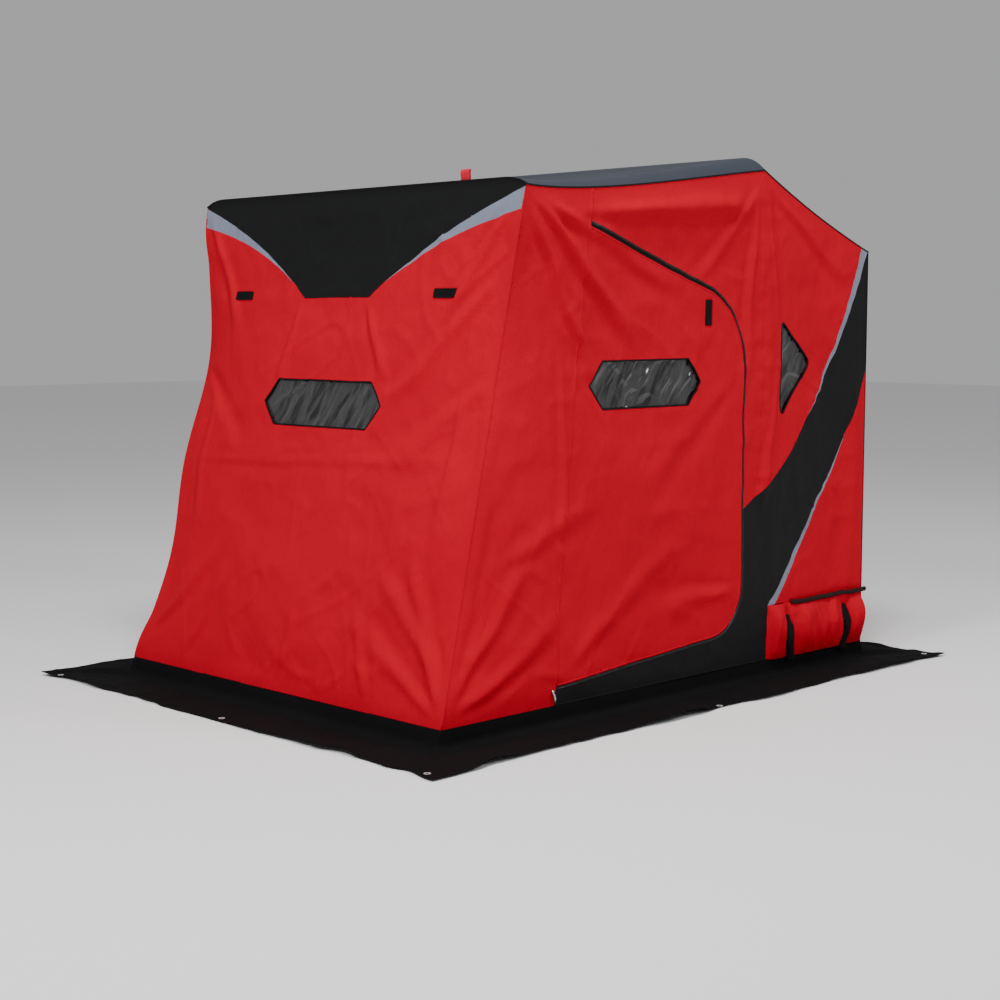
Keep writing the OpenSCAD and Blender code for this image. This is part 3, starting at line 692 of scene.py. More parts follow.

# The big folds that tension draws in each wall: from, to, width, height, and how far the line wanders.
# They were placed from the photo, in each wall's own plane.
SIDE_FOLDS = (
    ((0.44, 1.89), (1.02, 1.36), 0.030, 0.016),
    ((0.45, 1.86), (0.80, 1.16), 0.026, 0.012),
    ((0.46, 1.90), (1.32, 1.55), 0.034, 0.014),
    ((0.66, 1.84), (1.76, 1.90), 0.038, 0.014, 0.012),
    ((1.72, 1.96), (1.30, 1.50), 0.035, 0.009),
    ((1.71, 1.93), (1.64, 1.05), 0.022, 0.012),
    ((1.80, 1.95), (1.90, 1.42), 0.022, -0.010),
    ((1.79, 1.96), (2.35, 1.60), 0.030, 0.008),
    ((1.86, 1.30), (1.76, 0.62), 0.024, 0.009),
    ((1.64, 1.20), (1.05, 0.72), 0.050, -0.006),
    ((0.62, 0.20), (1.30, 0.62), 0.050, 0.008),
    ((1.62, 0.40), (1.10, 0.34), 0.035, 0.008),
    ((0.30, 0.60), (0.85, 0.80), 0.045, 0.007),
    ((0.60, 1.35), (0.62, 0.55), 0.022, 0.006),
    ((0.02, 0.10), (0.46, 0.62), 0.040, 0.010),
    ((0.02, 0.09), (0.66, 0.40), 0.036, 0.009),
    ((0.04, 0.14), (0.26, 0.88), 0.034, 0.008),
)
FRONT_FOLDS = (
    ((0.86, 1.90), (0.62, 1.42), 0.030, 0.010),
    ((-0.86, 1.90), (-0.62, 1.40), 0.030, 0.010),
    ((0.20, 1.55), (0.34, 1.24), 0.022, 0.008),
    ((-0.20, 1.55), (-0.30, 1.20), 0.022, 0.007),
    ((0.88, 1.62), (0.30, 1.10), 0.045, 0.009),
    ((0.90, 1.25), (0.42, 0.92), 0.045, 0.008),
    ((-0.90, 1.30), (-0.40, 1.00), 0.045, -0.007),
    ((-0.86, 0.90), (0.86, 0.98), 0.022, 0.0025, 0.008),
    ((-0.88, 0.20), (-0.50, 0.62), 0.040, 0.008),
    ((0.88, 0.22), (0.46, 0.60), 0.040, 0.009),
    ((-0.60, 0.12), (-0.42, 0.50), 0.030, 0.006),
    ((0.50, 0.12), (0.36, 0.46), 0.030, 0.006),
    ((0.0, 0.12), (0.05, 0.40), 0.030, 0.005),
    ((0.78, 1.20), (0.74, 0.60), 0.030, 0.006),
    ((-0.76, 1.16), (-0.72, 0.62), 0.030, 0.006),
    ((0.90, 0.10), (0.62, 0.66), 0.034, 0.009),
    ((0.90, 0.09), (0.36, 0.40), 0.034, 0.008),
)
REAR_FOLDS = (
    ((0.86, 1.68), (0.50, 1.28), 0.035, 0.007),
    ((-0.86, 1.68), (-0.48, 1.30), 0.035, 0.007),
    ((0.85, 0.20), (0.50, 0.60), 0.04, 0.006),
    ((-0.85, 0.20), (-0.50, 0.60), 0.04, 0.006),
    ((-0.80, 0.95), (0.80, 0.90), 0.03, 0.005),
)


def folded(p, folds, seed):
    return sum(fold(p, *f, seed=seed + k) for k, f in enumerate(folds))


def side_shape(p, seed):
    """How the side wall's cloth stands out of its plane, in metres, and how it shifts along and up."""
    s, z = p[:, 0], p[:, 1]
    below = seam_height(s) - z
    u = np.clip((s - front_line(z)) / np.maximum(hinge_line(z) - front_line(z), 0.05), 0, 1)
    pull = corner_pull(z)
    on_pole = sum(np.exp(-(along(p, pole)[0] / 0.05) ** 2) for pole in (MAIN_POLE, REAR_POLE))
    bay = np.clip((s - front_line(z)) / np.maximum(1.82 - front_line(z), 0.1), 0, 1)
    rear_bay = np.clip((s - 1.80) / 0.6, 0, 1)
    up = smooth(0.08, 0.5, z) * smooth(0.0, 0.30, below)
    sag = -0.016 * np.sin(math.pi * bay) ** 0.8 * up
    sag = sag - 0.008 * np.sin(math.pi * rear_bay) ** 0.8 * up * smooth(0.32, 0.6, z)
    drape = 0.017 * smooth(0.0, 0.11, below) * smooth(0.36, 0.12, below) * np.sin(math.pi * bay) ** 0.7
    drape = drape * (0.75 + 0.35 * noise(p * [1.0, 0.3], 0.24, seed + 80))
    edge = smooth(0.0, 0.10, below) * smooth(HEM, HEM + 0.10, z)
    warped = p + 0.04 * np.stack([noise(p, 0.3, seed + 31), noise(p, 0.3, seed + 32)], 1)
    wide = 0.0065 * fbm(p * [1.0, 0.8], 0.33, seed + 20) + 0.0030 * ridged(warped, 0.13, seed + 21)
    small = 0.0012 * fbm(p * [1.0, 0.7], 0.05, seed + 22, 2)
    sharp = (0.0034 * creases(p, -0.72, 0.13, 2.8, seed + 50) + 0.0028 * creases(p, 0.95, 0.15, 2.4, seed + 60)
             + 0.0020 * creases(p, -1.35, 0.09, 3.0, seed + 70))
    calm = 1 - 0.7 * np.exp(-(along(p, zip_line)[0] / 0.075) ** 2)
    out = sag + drape + (1.15 * folded(p, SIDE_FOLDS, seed) + wide + sharp) * edge * calm
    out = np.where(out < 0, out * (1 - np.clip(on_pole, 0, 1)), out) + 0.004 * np.clip(on_pole, 0, 1) * edge
    out = out + small * edge + sum(pucker(p, l, seed=seed + 40 + k) for k, l in enumerate(side_lines)) * edge
    rear_edge = smooth(DEPTH - 0.005, DEPTH - 0.09, s)
    out = out * rear_edge * smooth(0, 0.22, u + (s > hinge_line(z)))
    out = out - pull * (1 - u) ** 1.5
    ds = pull * (1 - u) ** 2 - 0.005 * (1 - np.clip(u * 6, 0, 1)) ** 2
    ds = ds + 0.005 * smooth(DEPTH - 0.03, DEPTH - 0.005, s)
    dz = seam_sag(s) * np.exp(-np.maximum(below, 0) / 0.30)
    return out, ds, dz


def side_place(sign, seed, lift=0.0):
    def place(p):
        out, ds, dz = side_shape(p, seed)
        return np.stack([sign * (HALF + out + lift), Y0 + p[:, 0] + ds, p[:, 1] + dz], 1)
    return place


def front_place_at(lift=0.0, seed=5):
    """The front wall's surface, raised by lift. p is across the wall and up its slope."""
    def place(p):
        x, w = p[:, 0], p[:, 1]
        z = np.minimum(w, SLOPE) * math.cos(LEAN)
        a = np.abs(x) / HALF
        pull = corner_pull(z)
        edge = smooth(0.0, 0.12, SLOPE - w + 0.02) * smooth(HEM, HEM + 0.10, w) * smooth(1.0, 0.93, a)
        out = 1.3 * folded(p, FRONT_FOLDS, 61)
        out = out + 0.0075 * fbm(p, 0.36, seed) + 0.0028 * ridged(p, 0.15, seed + 1)
        out = out + 0.0040 * creases(p, 0.62, 0.13, 2.8, 91) + 0.0034 * creases(p, -0.85, 0.15, 2.4, 101)
        out = out + 0.0028 * creases(p, 1.50, 0.10, 3.0, 111)
        belly = -0.010 * np.sin(math.pi * np.clip(w / SLOPE, 0, 1)) * (1 - a ** 2)
        out = (out + 0.0009 * fbm(p, 0.045, seed + 2, 2) + belly) * edge
        out = out + pucker(p, v_line, seed=seed + 3) * edge + lift
        rise = np.maximum(w - SLOPE, 0)
        y = Y0 + np.minimum(w, SLOPE) * math.sin(LEAN) + pull * a ** 3 - out * math.cos(LEAN)
        return np.stack([x * (1 - pull / HALF * a ** 2), y, z + rise + out * math.sin(LEAN)], 1)
    return place


def rear_place(p):
    q = p * [-1, 1]
    x, z = q[:, 0], q[:, 1]
    a = np.abs(x) / HALF
    edge = smooth(0.0, 0.12, REAR_H - z + 0.02) * smooth(HEM, HEM + 0.10, z) * smooth(1.0, 0.92, a)
    out = 1.4 * folded(q, REAR_FOLDS, 81) + 0.006 * fbm(q, 0.34, 9) + 0.0025 * ridged(q, 0.15, 10)
    out = out + 0.001 * fbm(q, 0.05, 11, 2)
    out = out + 0.0038 * creases(q, 0.7, 0.13, 2.6, 121) + 0.0034 * creases(q, -0.8, 0.14, 2.6, 131)
    return np.stack([x, Y1 + out * edge, z], 1)


# ---- Walls, windows and doors ------------------------------------------------------------------------

# outer and inner face of each cloth
cloth_red, cloth_black, cloth_grey = [m_red, m_lining], [m_black, m_lining], [m_grey, m_lining]


def wrinkles(p, outer, angle, seed, size=0.042, high=0.0036):
    """The small slanting wrinkles of clear vinyl, flat at its edge."""
    c, s = math.cos(angle), math.sin(angle)
    q = np.stack([(p[:, 0] * c + p[:, 1] * s) / 3.2, -p[:, 0] * s + p[:, 1] * c], 1)
    q = q + 0.35 * size * np.stack([noise(p, size * 3, seed + 3), noise(p, size * 3, seed + 4)], 1)
    inner = smooth(0.004, 0.03, along(p, closed_line(outer))[0])
    rise = high * (ridged(q, size, seed) + 0.5 * ridged(q, size * 0.47, seed + 1)) * inner
    return np.minimum(rise, high * 0.9)


def window(name, outer, hole, place, body, node, seed, angle, mirror=False):
    """A vinyl pane behind its hole in the cloth, and the binding sewn round the hole."""
    flip = -1 if mirror else 1

    def placed(p):
        co, n = line_normal(place, p)
        return co + n * flip * (wrinkles(p, outer, angle, seed) - CLOTH - 0.0018)[:, None]
    o = sheet_piece(name, outer, [], placed, [m_vinyl, m_vinyl], body, "vinyl", (node,) if node else (),
                    step=0.006, t=0.0012, mirror=mirror)
    ring = ribbon(name + "_binding", hole[::-1], place, 0.0065, 0.0012, [m_binding], body, "webbing",
                  closed=True, flip=flip, step=0.008)
    sew(ring, o.name)


FLAP_TOP = float(cut["sled_flaps"][0][0][:, 1].max())
FLAP_S = float(cut["sled_flaps"][0][0][:, 0].min())
STRAPS = sorted(float(o[:, 0].mean()) for o, _ in cut["flap_straps"])


def flap_place(sign, seed, lift=0.0):
    """The loose flap over the sled's end, gathered where the straps draw it in."""
    base = side_place(sign, seed)

    def place(p):
        co = base(p)
        s, z = p[:, 0], p[:, 1]
        v = np.clip((z - HEM) / (FLAP_TOP - HEM), 0, 1)
        pinch = sum(np.exp(-((s - c) / 0.034) ** 2) for c in STRAPS)
        ends = smooth(FLAP_S - 0.001, FLAP_S + 0.05, s) * smooth(DEPTH + 0.001, DEPTH - 0.04, s)
        swell = 0.038 * np.sin(math.pi * np.clip(v * 0.9 + 0.08, 0, 1)) ** 0.8
        swell = swell * (1 - 0.85 * np.clip(pinch, 0, 1))
        q = np.stack([s + 0.10 * (z - 0.2) * np.sign(np.sin((s - STRAPS[0]) * 14)), z * 0.35], 1)
        gathers = 0.010 * noise(q, 0.040, seed + 61) + 0.008 * ridged(q, 0.06, seed + 62)
        gathers = gathers * (0.35 + 0.65 * smooth(0.0, 0.3, v) * smooth(1.0, 0.75, v))
        out = (0.004 + swell + gathers) * ends
        co[:, 0] += sign * (np.maximum(out, 0.0) + lift)
        co[:, 2] -= 0.004 * (1 - v) * ends
        return co
    return place


STRAP = 0.044


def flap(side, sign, seed):
    """The loose cloth over the sled's end, the hem above it, whose dark colour is painted shade, and its two
    straps.
    """
    outer, holes = cut["sled_flaps"][0]
    sheet_piece(f"{side}_flap_cloth", outer, holes, flap_place(sign, seed), [m_red, m_red], "shelter",
                "red_fabric", ("sled_flaps",) if sign > 0 else (), step=0.009, held="gathered", rests=("sled",),
                mirror=sign < 0)
    flap_hem_painted_shade(side, sign, seed)
    for k, c in enumerate(STRAPS):
        flap_strap(side, sign, seed, k, c)


def flap_hem_painted_shade(side, sign, seed):
    """The hem of the wall above the flap, which stands off as a fold; its dark red-brown colour is painted
    shade, the shadow under the fold.
    """
    s = np.linspace(FLAP_S + 0.15, DEPTH - 0.006, 60)
    flat = np.stack([s, s * 0], 1)
    line = np.stack([s, FLAP_TOP - 0.001 + 0.003 * noise(flat, 0.12, seed + 71)], 1)
    co, n = line_normal(side_place(sign, seed), line)
    n = n * sign
    bulge = 0.012 + 0.014 * smooth(0, 0.10, s - s[0]) * (0.7 + 0.3 * noise(flat, 0.16, seed + 72))
    shape = [(-0.0075, -0.0025), (-0.009, -0.0005), (-0.0075, 0.0015), (0.0, 0.0025), (0.007, 0.001),
             (0.010, -0.004), (0.009, -0.007), (0.0, -0.003)]
    v, f = sweep(co + n * bulge[:, None], n, [(a * sign, b) for a, b in shape])
    o = mesh_object(f"{side}_flap_hem_painted_shade", v, f, [m_hem_shade], "shelter", "webbing")
    fix_normals(o)
    sew(o, f"{side}_flap_cloth")


def flap_strap(side, sign, seed, k, c):
    """A strap from under the wall's hem, over the gathered flap and down onto the skirt."""
    lean = (0.010, -0.006)[k]
    # where it runs: behind the front wall's foot, above the ground, and off the wall
    knots = np.array([
        (c - 0.002, FLAP_TOP - 0.050, 0.002), (c - 0.002, FLAP_TOP - 0.072, 0.010),
        (c - lean, FLAP_TOP - 0.12, 0.024), (c - lean * 0.8, FLAP_TOP - 0.165, 0.023),
        (c + lean * 0.4, HEM + 0.030, 0.017), (c + lean * 1.3, HEM - 0.002, 0.014),
        (c + lean * 1.5, HEM - 0.022, 0.012)])
    u = np.linspace(0, len(knots) - 1, 40)
    line = np.stack([np.interp(u, range(len(knots)), knots[:, i]) for i in range(3)], 1)
    for _ in range(4):
        line[1:-1] = (line[:-2] + 2 * line[1:-1] + line[2:]) / 4
    base, n = line_normal(side_place(sign, seed), line[:, :2])
    n = n * sign
    co = base + n * (line[:, 2] + 0.004)[:, None]
    half = STRAP / 2
    shape = [(-half, -0.001), (-half * 0.95, 0.0011), (-half * 0.3, 0.0018),
             (half * 0.3, 0.0018), (half * 0.95, 0.0011), (half, -0.001)]
    v, f = sweep(co, n, [(a * sign, b) for a, b in shape])
    run = run_along(co)
    uv = np.stack([np.repeat(run, len(shape)), np.tile([a for a, _ in shape], len(run))], 1)
    o = mesh_object(f"{side}_flap_strap_{k + 1}", v, f, [m_webbing], "shelter", "webbing",
                    ("flap_straps",) if sign > 0 and k == 0 else (), uv)
    fix_normals(o)
    cloths.append((o, dict(flat=(STRAP, float(run[-1])), held="stretched", rests_on=[f"{side}_flap_cloth"])))


def seams(side, sign, seed):
    """Sewn seams and piped edges of a side wall."""
    place = side_place(sign, seed)
    for part, width, high, mat, slot in (("band", 0.006, 0.0009, m_black, "black_fabric"),
                                         ("rear_panel", 0.005, 0.0008, m_red, "red_fabric")):
        line = cut["right_" + part][0][0]
        o = ribbon(f"{side}_{part}_seam", line, place, width, high, [mat], "shelter", slot, closed=True,
                   flip=sign, step=0.012)
        sew(o, f"{side}_{part}_cloth")
    z = np.linspace(HEM, FRONT_H, 130)
    corner = place(np.stack([front_line(z) + 0.005, z], 1))
    piping(f"{side}_corner_piping", corner, (sign * 0.707, -0.707, 0.0), 0.0026, 0.0012, m_red, "red_fabric",
           f"{side}_front_strip_cloth")
    s = np.linspace(FRONT_S, DEPTH - 0.003, 220)
    piping(f"{side}_roof_piping", place(np.stack([s, seam_height(s)], 1)), (sign * 0.8, 0.0, 0.6), PIPE, 0.001,
           m_black, "black_fabric", "roof_cloth")


def path_out(path):
    """Directions out of the door, across the line of its zip."""
    d = np.gradient(path, axis=0)
    d /= np.linalg.norm(d, axis=1, keepdims=True)
    return np.stack([d[:, 1], -d[:, 0]], 1)


def tape_piece(name, middle, a, b, place, mat, body, flip, stands=()):
    """Zip tape: a flat strip beside the zip's middle line, from a to b across it."""
    q = resample(middle, 0.01, False)
    out = path_out(q)
    across = np.linspace(a, b, 4)
    flat = np.concatenate([q + out * c for c in across])
    co = place(flat)
    k = len(q)
    run = run_along(q)
    tri = grid_faces(len(across), k)
    if flip < 0:
        tri = tri[:, ::-1]
    uv = np.stack([np.tile(run, len(across)), np.repeat(across, k)], 1)
    co, faces, which, sharp, uv = thick(co, tri, 0.0012, uv)
    o = mesh_object(name, co, faces, [mat, mat], body, "zip", stands, uv, which, sharp)
    size = (max(0.0101, abs(b - a)), float(run[-1]))
    cloths.append((o, dict(flat=size, held="stretched", rests_on=["side_hems"])))
    return o


def teeth_piece(name, middle, half, place, body, flip):
    """One half of the zip's chain: teeth beside the middle line, half a pitch apart from the other half's."""
    pitch = 0.0064
    q = resample(middle, 0.0016, False)
    run = run_along(q)
    first = 0.006 + (pitch / 2 if half > 0 else 0)
    at = np.arange(first, run[-1] - 0.006, pitch)
    c = np.stack([np.interp(at, run, q[:, 0]), np.interp(at, run, q[:, 1])], 1)
    co, n = line_normal(place, c)
    n = n * flip
    t = np.gradient(co, axis=0)
    t /= np.linalg.norm(t, axis=1, keepdims=True)
    side = np.cross(t, n) * flip
    s2 = place(c + path_out(c) * 0.003) - co
    side *= np.sign(np.sum(side * s2, axis=1, keepdims=True))
    # a tooth's outline across the zip, and half its length along it
    ring = [(0.0006, -0.0012), (0.0006, 0.0006), (0.0016, 0.0013),
            (0.0034, 0.0013), (0.0042, 0.0002), (0.0042, -0.0016)]
    reach = 0.0021
    verts = [co + side * (half * a) + n * b + t * end for end in (-reach, reach) for a, b in ring]
    verts = np.stack(verts, 1).reshape(-1, 3)
    faces, m = [], len(ring)
    for c in range(0, len(verts), 2 * m):
        faces.append([c + k for k in range(m)])
        faces.append([c + m + k for k in range(m)][::-1])
        for k in range(m):
            j = (k + 1) % m
            faces.append([c + k, c + m + k, c + m + j, c + j])
    o = mesh_object(name, verts, faces, [m_zip], body, "zip", flat=True)
    fix_normals(o)
    return o


def tab_piece(name, outer, place, body, node, mirror=False):
    """A sewn tab of hook and loop: a thick slab with soft corners."""
    lo, hi = outer.min(0), outer.max(0)
    r = 0.006
    ring = []
    for x, z, start in ((hi[0] - r, hi[1] - r, 0), (lo[0] + r, hi[1] - r, 90),
                        (lo[0] + r, lo[1] + r, 180), (hi[0] - r, lo[1] + r, 270)):
        turn = [math.radians(start + k * 18) for k in range(6)]
        ring += [(x + r * math.cos(a), z + r * math.sin(a)) for a in turn]
    rests = ("front_wall",) if body == "shelter" else (node,)
    sheet_piece(name, np.array(ring), [], place, [m_webbing, m_webbing], body, "webbing",
                (node,) if node else (), step=0.007, t=0.003, mirror=mirror, rests=rests)


def slider_piece(name, at, place, body, flip):
    """A zip slider with its pull hanging from it."""
    co, n = line_normal(place, np.array([at]))
    base, out = co[0], n[0] * flip
    down = np.array([0, 0.10, -0.995])
    down -= out * (down @ out)
    down /= np.linalg.norm(down)
    line = [base + out * 0.0035 - down * 0.009, base + out * 0.0045, base + out * 0.0035 + down * 0.009]
    oval = [(0.0052 * a, 0.0032 * b) for a, b in circle(1.0, 12)]
    v1, f1 = sweep(np.array(line), np.tile(out, (3, 1)), oval)
    k = np.linspace(0, 1, 9)
    pull = base + out * (0.0085 + 0.004 * np.sin(k * 3.0))[:, None] + down * (0.004 + 0.036 * k)[:, None]
    tag = [(0.0042 * a, 0.0011 * b) for a, b in ((-1, -1), (-1, 1), (-0.5, 1.5), (0.5, 1.5), (1, 1), (1, -1))]
    v2, f2 = sweep(pull, np.tile(out, (9, 1)), tag)
    faces = f1 + [[i + len(v1) for i in f] for f in f2]
    o = mesh_object(name, np.concatenate([v1, v2]), faces, [m_pull], body, "grommet_metal")
    fix_normals(o)
    return o


def side_wall(side, sign, seed):
    """The fixed cloth of a side wall, its quarter window and the flap over the sled."""
    place, mirror = side_place(sign, seed), sign < 0
    for part, mats, slot in (("front_strip", cloth_red, "red_fabric"), ("header", cloth_red, "red_fabric"),
                             ("rear_panel", cloth_red, "red_fabric"), ("band", cloth_black, "black_fabric")):
        outer, holes = cut["right_" + part][0]
        sheet_piece(f"{side}_{part}_cloth", outer, holes, place, mats, "shelter", slot, (f"{side}_{part}",),
                    mirror=mirror)
    for k, (outer, holes) in enumerate(cut["side_accents"]):
        sheet_piece(f"{side}_accent_{k + 1}", outer, holes, place, cloth_grey, "shelter", "grey_fabric",
                    ("side_accents",) if not mirror and k == 0 else (), mirror=mirror, step=0.011)
    outer, holes = cut["corner_panels"][0]
    sheet_piece(f"{side}_corner_cloth", outer, holes, place, cloth_red, "shelter", "red_fabric",
                ("corner_panels",) if not mirror else (), mirror=mirror, step=0.011)


def door_and_zip(side, sign, seed):
    """A door that bends at its sewn edge, with the zip's moving half, and the fixed half on the wall."""
    place, tape_place, mirror = side_place(sign, seed), side_place(sign, seed, -0.0018), sign < 0
    door = side + "_door"
    outer, holes = cut["right_door"][0]
    path = zip_path(outer)
    out = path_out(path)
    reach = 0.0105 * smooth(1.66, 1.42, path[:, 1])
    grown = np.concatenate([path + out * reach[:, None], outer[[np.argmax(outer[:, 1])]]])
    cloth = sheet_piece(f"{side}_door_cloth", grown, holes, place, cloth_red, None, "red_fabric", (door,),
                        rests=(f"{side}_front_strip_cloth",), mirror=mirror)
    window(f"{side}_door_pane", cut["right_door_window"][0][0], holes[0], place, door, f"{side}_door_window",
           seed + 7, 1.0, mirror)
    middle = path + out * 0.01725
    tape = tape_piece(f"{side}_zip_tape", middle, -0.0205, -0.0012, tape_place, m_binding, None, sign,
                      (f"{side}_door_zip",))
    teeth = teeth_piece(f"{side}_zip_teeth", middle, -1, place, None, sign)
    edge = path + out * (reach - 0.004)[:, None]
    hem = ribbon(f"{side}_door_hem", edge, place, 0.0065, 0.0009, [m_red], None, "red_fabric", flip=sign,
                 step=0.012)
    for o in (cloth, tape, teeth, hem):
        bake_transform(o)
    sew(teeth, tape.name)
    sew(hem, cloth.name)
    fixed = f"{side}_zip_fixed_tape"
    tape_piece(fixed, middle, 0.0012, 0.012, tape_place, m_binding, "shelter", sign)
    sew(teeth_piece(f"{side}_zip_fixed_teeth", middle, 1, place, "shelter", sign), fixed)
    top = float(cut["right_front_strip"][0][0][:, 1].max())
    z = np.linspace(float(path[0, 1]) - 0.004, top - 0.006, 110)
    seam = ribbon(f"{side}_hinge_seam", np.stack([hinge_line(z) + 0.0005, z], 1), place, 0.012, 0.0011, [m_red],
                  "shelter", "red_fabric", flip=sign)
    sew(seam, f"{side}_front_strip_cloth")
    tab_piece(f"{side}_door_tab_cloth", cut["right_door_tab"][0][0], side_place(sign, seed, 0.003), door,
              f"{side}_door_tab", mirror)
    at = middle[0] + np.array([-0.022, -0.012])
    sew(slider_piece(f"{side}_zip_slider", at, place, "shelter", sign), fixed)


for side, sign, seed in (("right", 1, 100), ("left", -1, 300)):
    side_wall(side, sign, seed)
    door_and_zip(side, sign, seed)
    window(f"{side}_quarter_pane", cut["quarter_windows"][0][0], cut["right_rear_panel"][0][1][0],
           side_place(sign, seed), "shelter", "quarter_windows" if sign > 0 else None, seed + 9, 1.1, sign < 0)
    flap(side, sign, seed)
    seams(side, sign, seed)

front_place = front_place_at()
for name, node, place, mats, slot in (
        ("front_wall_cloth", "front_wall", front_place, cloth_red, "red_fabric"),
        ("front_v_cloth", "front_v_panel", front_place, cloth_black, "black_fabric"),
        ("rear_wall_cloth", "rear_wall", rear_place, cloth_red, "red_fabric"),
        ("rear_top_cloth", "rear_top_panel", rear_place, cloth_black, "black_fabric")):
    outer, holes = cut[node][0]
    sheet_piece(name, outer, holes, place, mats, "shelter", slot, (node,))
for end, place, seed in (("front", front_place, 41), ("rear", rear_place, 43)):
    window(end + "_pane", cut[end + "_window"][0][0], cut[end + "_wall"][0][1][0], place, "shelter",
           end + "_window", seed, 1.0)
for k, (outer, holes) in enumerate(cut["front_accents"]):
    sheet_piece(f"front_accent_{k + 1}", outer, holes, front_place, cloth_grey, "shelter", "grey_fabric",
                ("front_accents",) if k == 0 else (), step=0.011)

# ---- Roof --------------------------------------------------------------------------------------------


def clear_of_bows(s):
    """0 over a bow, and 1 where the roof hangs free between two."""
    away = np.minimum(np.minimum(np.abs(s - FRONT_S), np.abs(s - MAIN_S)), np.abs(s - DEPTH))
    return smooth(0.03, 0.16, away)


def roof_height(x, s):
    q = np.clip((s - FRONT_S) / (MAIN_S - FRONT_S), 0, 1)
    r = np.clip((s - MAIN_S) / (DEPTH - MAIN_S), 0, 1)
    crown = np.where(s < MAIN_S, FRONT_C + (MAIN_C - FRONT_C) * q, MAIN_C + (REAR_C - MAIN_C) * r)
    t = np.clip((HALF - np.abs(x)) / SHOULDER, 0, 1)
    hang = -0.036 * np.sin(math.pi * q) * (s < MAIN_S) - 0.020 * np.sin(math.pi * r) * (s >= MAIN_S)
    mid = smooth(0.0, 0.30, HALF - np.abs(x))
    rise = 0.0035 * smooth(0.0, 0.04, HALF - np.abs(x)) + (hang * clear_of_bows(s) - seam_sag(s)) * mid
    return seam_height(s) + seam_sag(s) + crown * (1 - (1 - t) ** 2) + rise


def roof_place(p):
    x, s = p[:, 0], p[:, 1]
    q = np.clip((s - FRONT_S) / (MAIN_S - FRONT_S), 0, 1)
    r = np.clip((s - MAIN_S) / (DEPTH - MAIN_S), 0, 1)
    free = np.sin(math.pi * q) ** 0.6 * (s < MAIN_S) + np.sin(math.pi * r) ** 0.6 * (s >= MAIN_S)
    edge = smooth(0, 0.1, HALF - np.abs(x)) * np.clip(free, 0, 1) * clear_of_bows(s)
    out = 0.006 * fbm(p, 0.34, 201) + 0.0025 * ridged(p * [1, 0.6], 0.15, 203) + 0.001 * fbm(p, 0.05, 207, 2)
    out = out + 0.0036 * creases(p, 0.8, 0.14, 2.6, 211) + 0.003 * creases(p, -0.7, 0.14, 2.6, 221)
    folds = ((-0.86, 0.50), (0.0, 1.2), 0.05, 0.008), ((0.86, 0.50), (0.1, 1.1), 0.05, 0.008)
    out = out + folded(p, folds, 205)
    return np.stack([x, Y0 + s, roof_height(x, s) + out * edge + 0.001], 1)


for name, s0, s1, node in (("roof_cloth", FRONT_S, MAIN_S, "roof_panel"),
                           ("rear_roof_cloth", MAIN_S, DEPTH, "rear_roof_panel")):
    rect = np.array([[-HALF, s0], [HALF, s0], [HALF, s1], [-HALF, s1]])
    sheet_piece(name, rect, [], roof_place, [m_roof_and_sheen, m_lining], "shelter", "roof_fabric", (node,), step=0.014,
                rests=("crossbars", "side_rails"))

# ---- Trim of the front wall, and the tag -------------------------------------------------------------
for k, (outer, holes) in enumerate(cut["front_tabs"]):
    tab_piece(f"front_tab_{k + 1}", outer, front_place_at(0.003), "shelter", "front_tabs" if k == 0 else None)
for name, node, place in (("front_v", "front_v_panel", front_place),
                          ("rear_top", "rear_top_panel", rear_place)):
    seam = ribbon(name + "_seam", cut[node][0][0], place, 0.005, 0.0008, [m_black], "shelter", "black_fabric",
                  closed=True, step=0.012)
    sew(seam, name + "_cloth")
for sign, side in ((1, "right"), (-1, "left")):
    z = np.linspace(HEM, REAR_H, 100)
    line = np.stack([np.full(100, sign * HALF), np.full(100, Y1), z], 1)
    piping(f"{side}_rear_piping", line, (sign * 0.707, 0.707, 0.0), 0.0028, 0.001, m_black, "black_fabric",
           "rear_wall_cloth")
for name, s, lean, cloth in (("front", FRONT_S, -0.5, "roof_cloth"), ("rear", DEPTH, 0.5, "rear_roof_cloth")):
    line = roof_place(np.stack([np.linspace(-HALF, HALF, 160), np.full(160, s)], 1))
    piping(f"{name}_roof_piping", line, (0.0, lean, 0.866), PIPE, 0.001, m_black, "black_fabric", cloth)


def tag_loop():
    """The folded tag on the roof, a loop of webbing that leans a little."""
    lo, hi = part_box("roof_tag")
    high = hi.z - lo.z
    mid_x, mid_y = (lo.x + hi.x) / 2, (lo.y + hi.y) / 2
    # the loop from its back foot, over the top to its front foot: how far behind its middle, and how far up
    turn = [(-0.0022, 0.0), (-0.0030, 0.35), (-0.0038, 0.7), (-0.0030, 0.93), (0.0, 1.0),
            (0.0030, 0.93), (0.0036, 0.7), (0.0028, 0.35), (0.0022, 0.0)]
    feet = roof_place(np.array([[x, mid_y - Y0] for x in np.linspace(lo.x, hi.x, 9)]))
    co = np.array([[x, mid_y + dy + 0.002 * math.sin(7 * up) * up,
                    z - 0.006 + up * (high + 0.004 - 0.012 * abs(x - mid_x))]
                   for x, _, z in feet for dy, up in turn])
    tri = grid_faces(len(feet), len(turn))
    co, faces, which, sharp, uv = thick(co, tri, 0.0012, co[:, [0, 2]])
    tag = mesh_object("roof_tag_loop", co, faces, [m_tag, m_tag], "shelter", "tag", ("roof_tag",), uv, which,
                      sharp)
    cloths.append((tag, dict(flat=(hi.x - lo.x, 2 * high + 0.006), held="folded", rests_on=["roof_cloth"])))


tag_loop()

# ---- Skirt and hem -----------------------------------------------------------------------------------
eyelets = []
for x, y in points_of("grommets")[:, :2]:
    if not any(math.hypot(x - a, y - b) < 0.03 for a, b in eyelets):
        eyelets.append((float(x), float(y)))
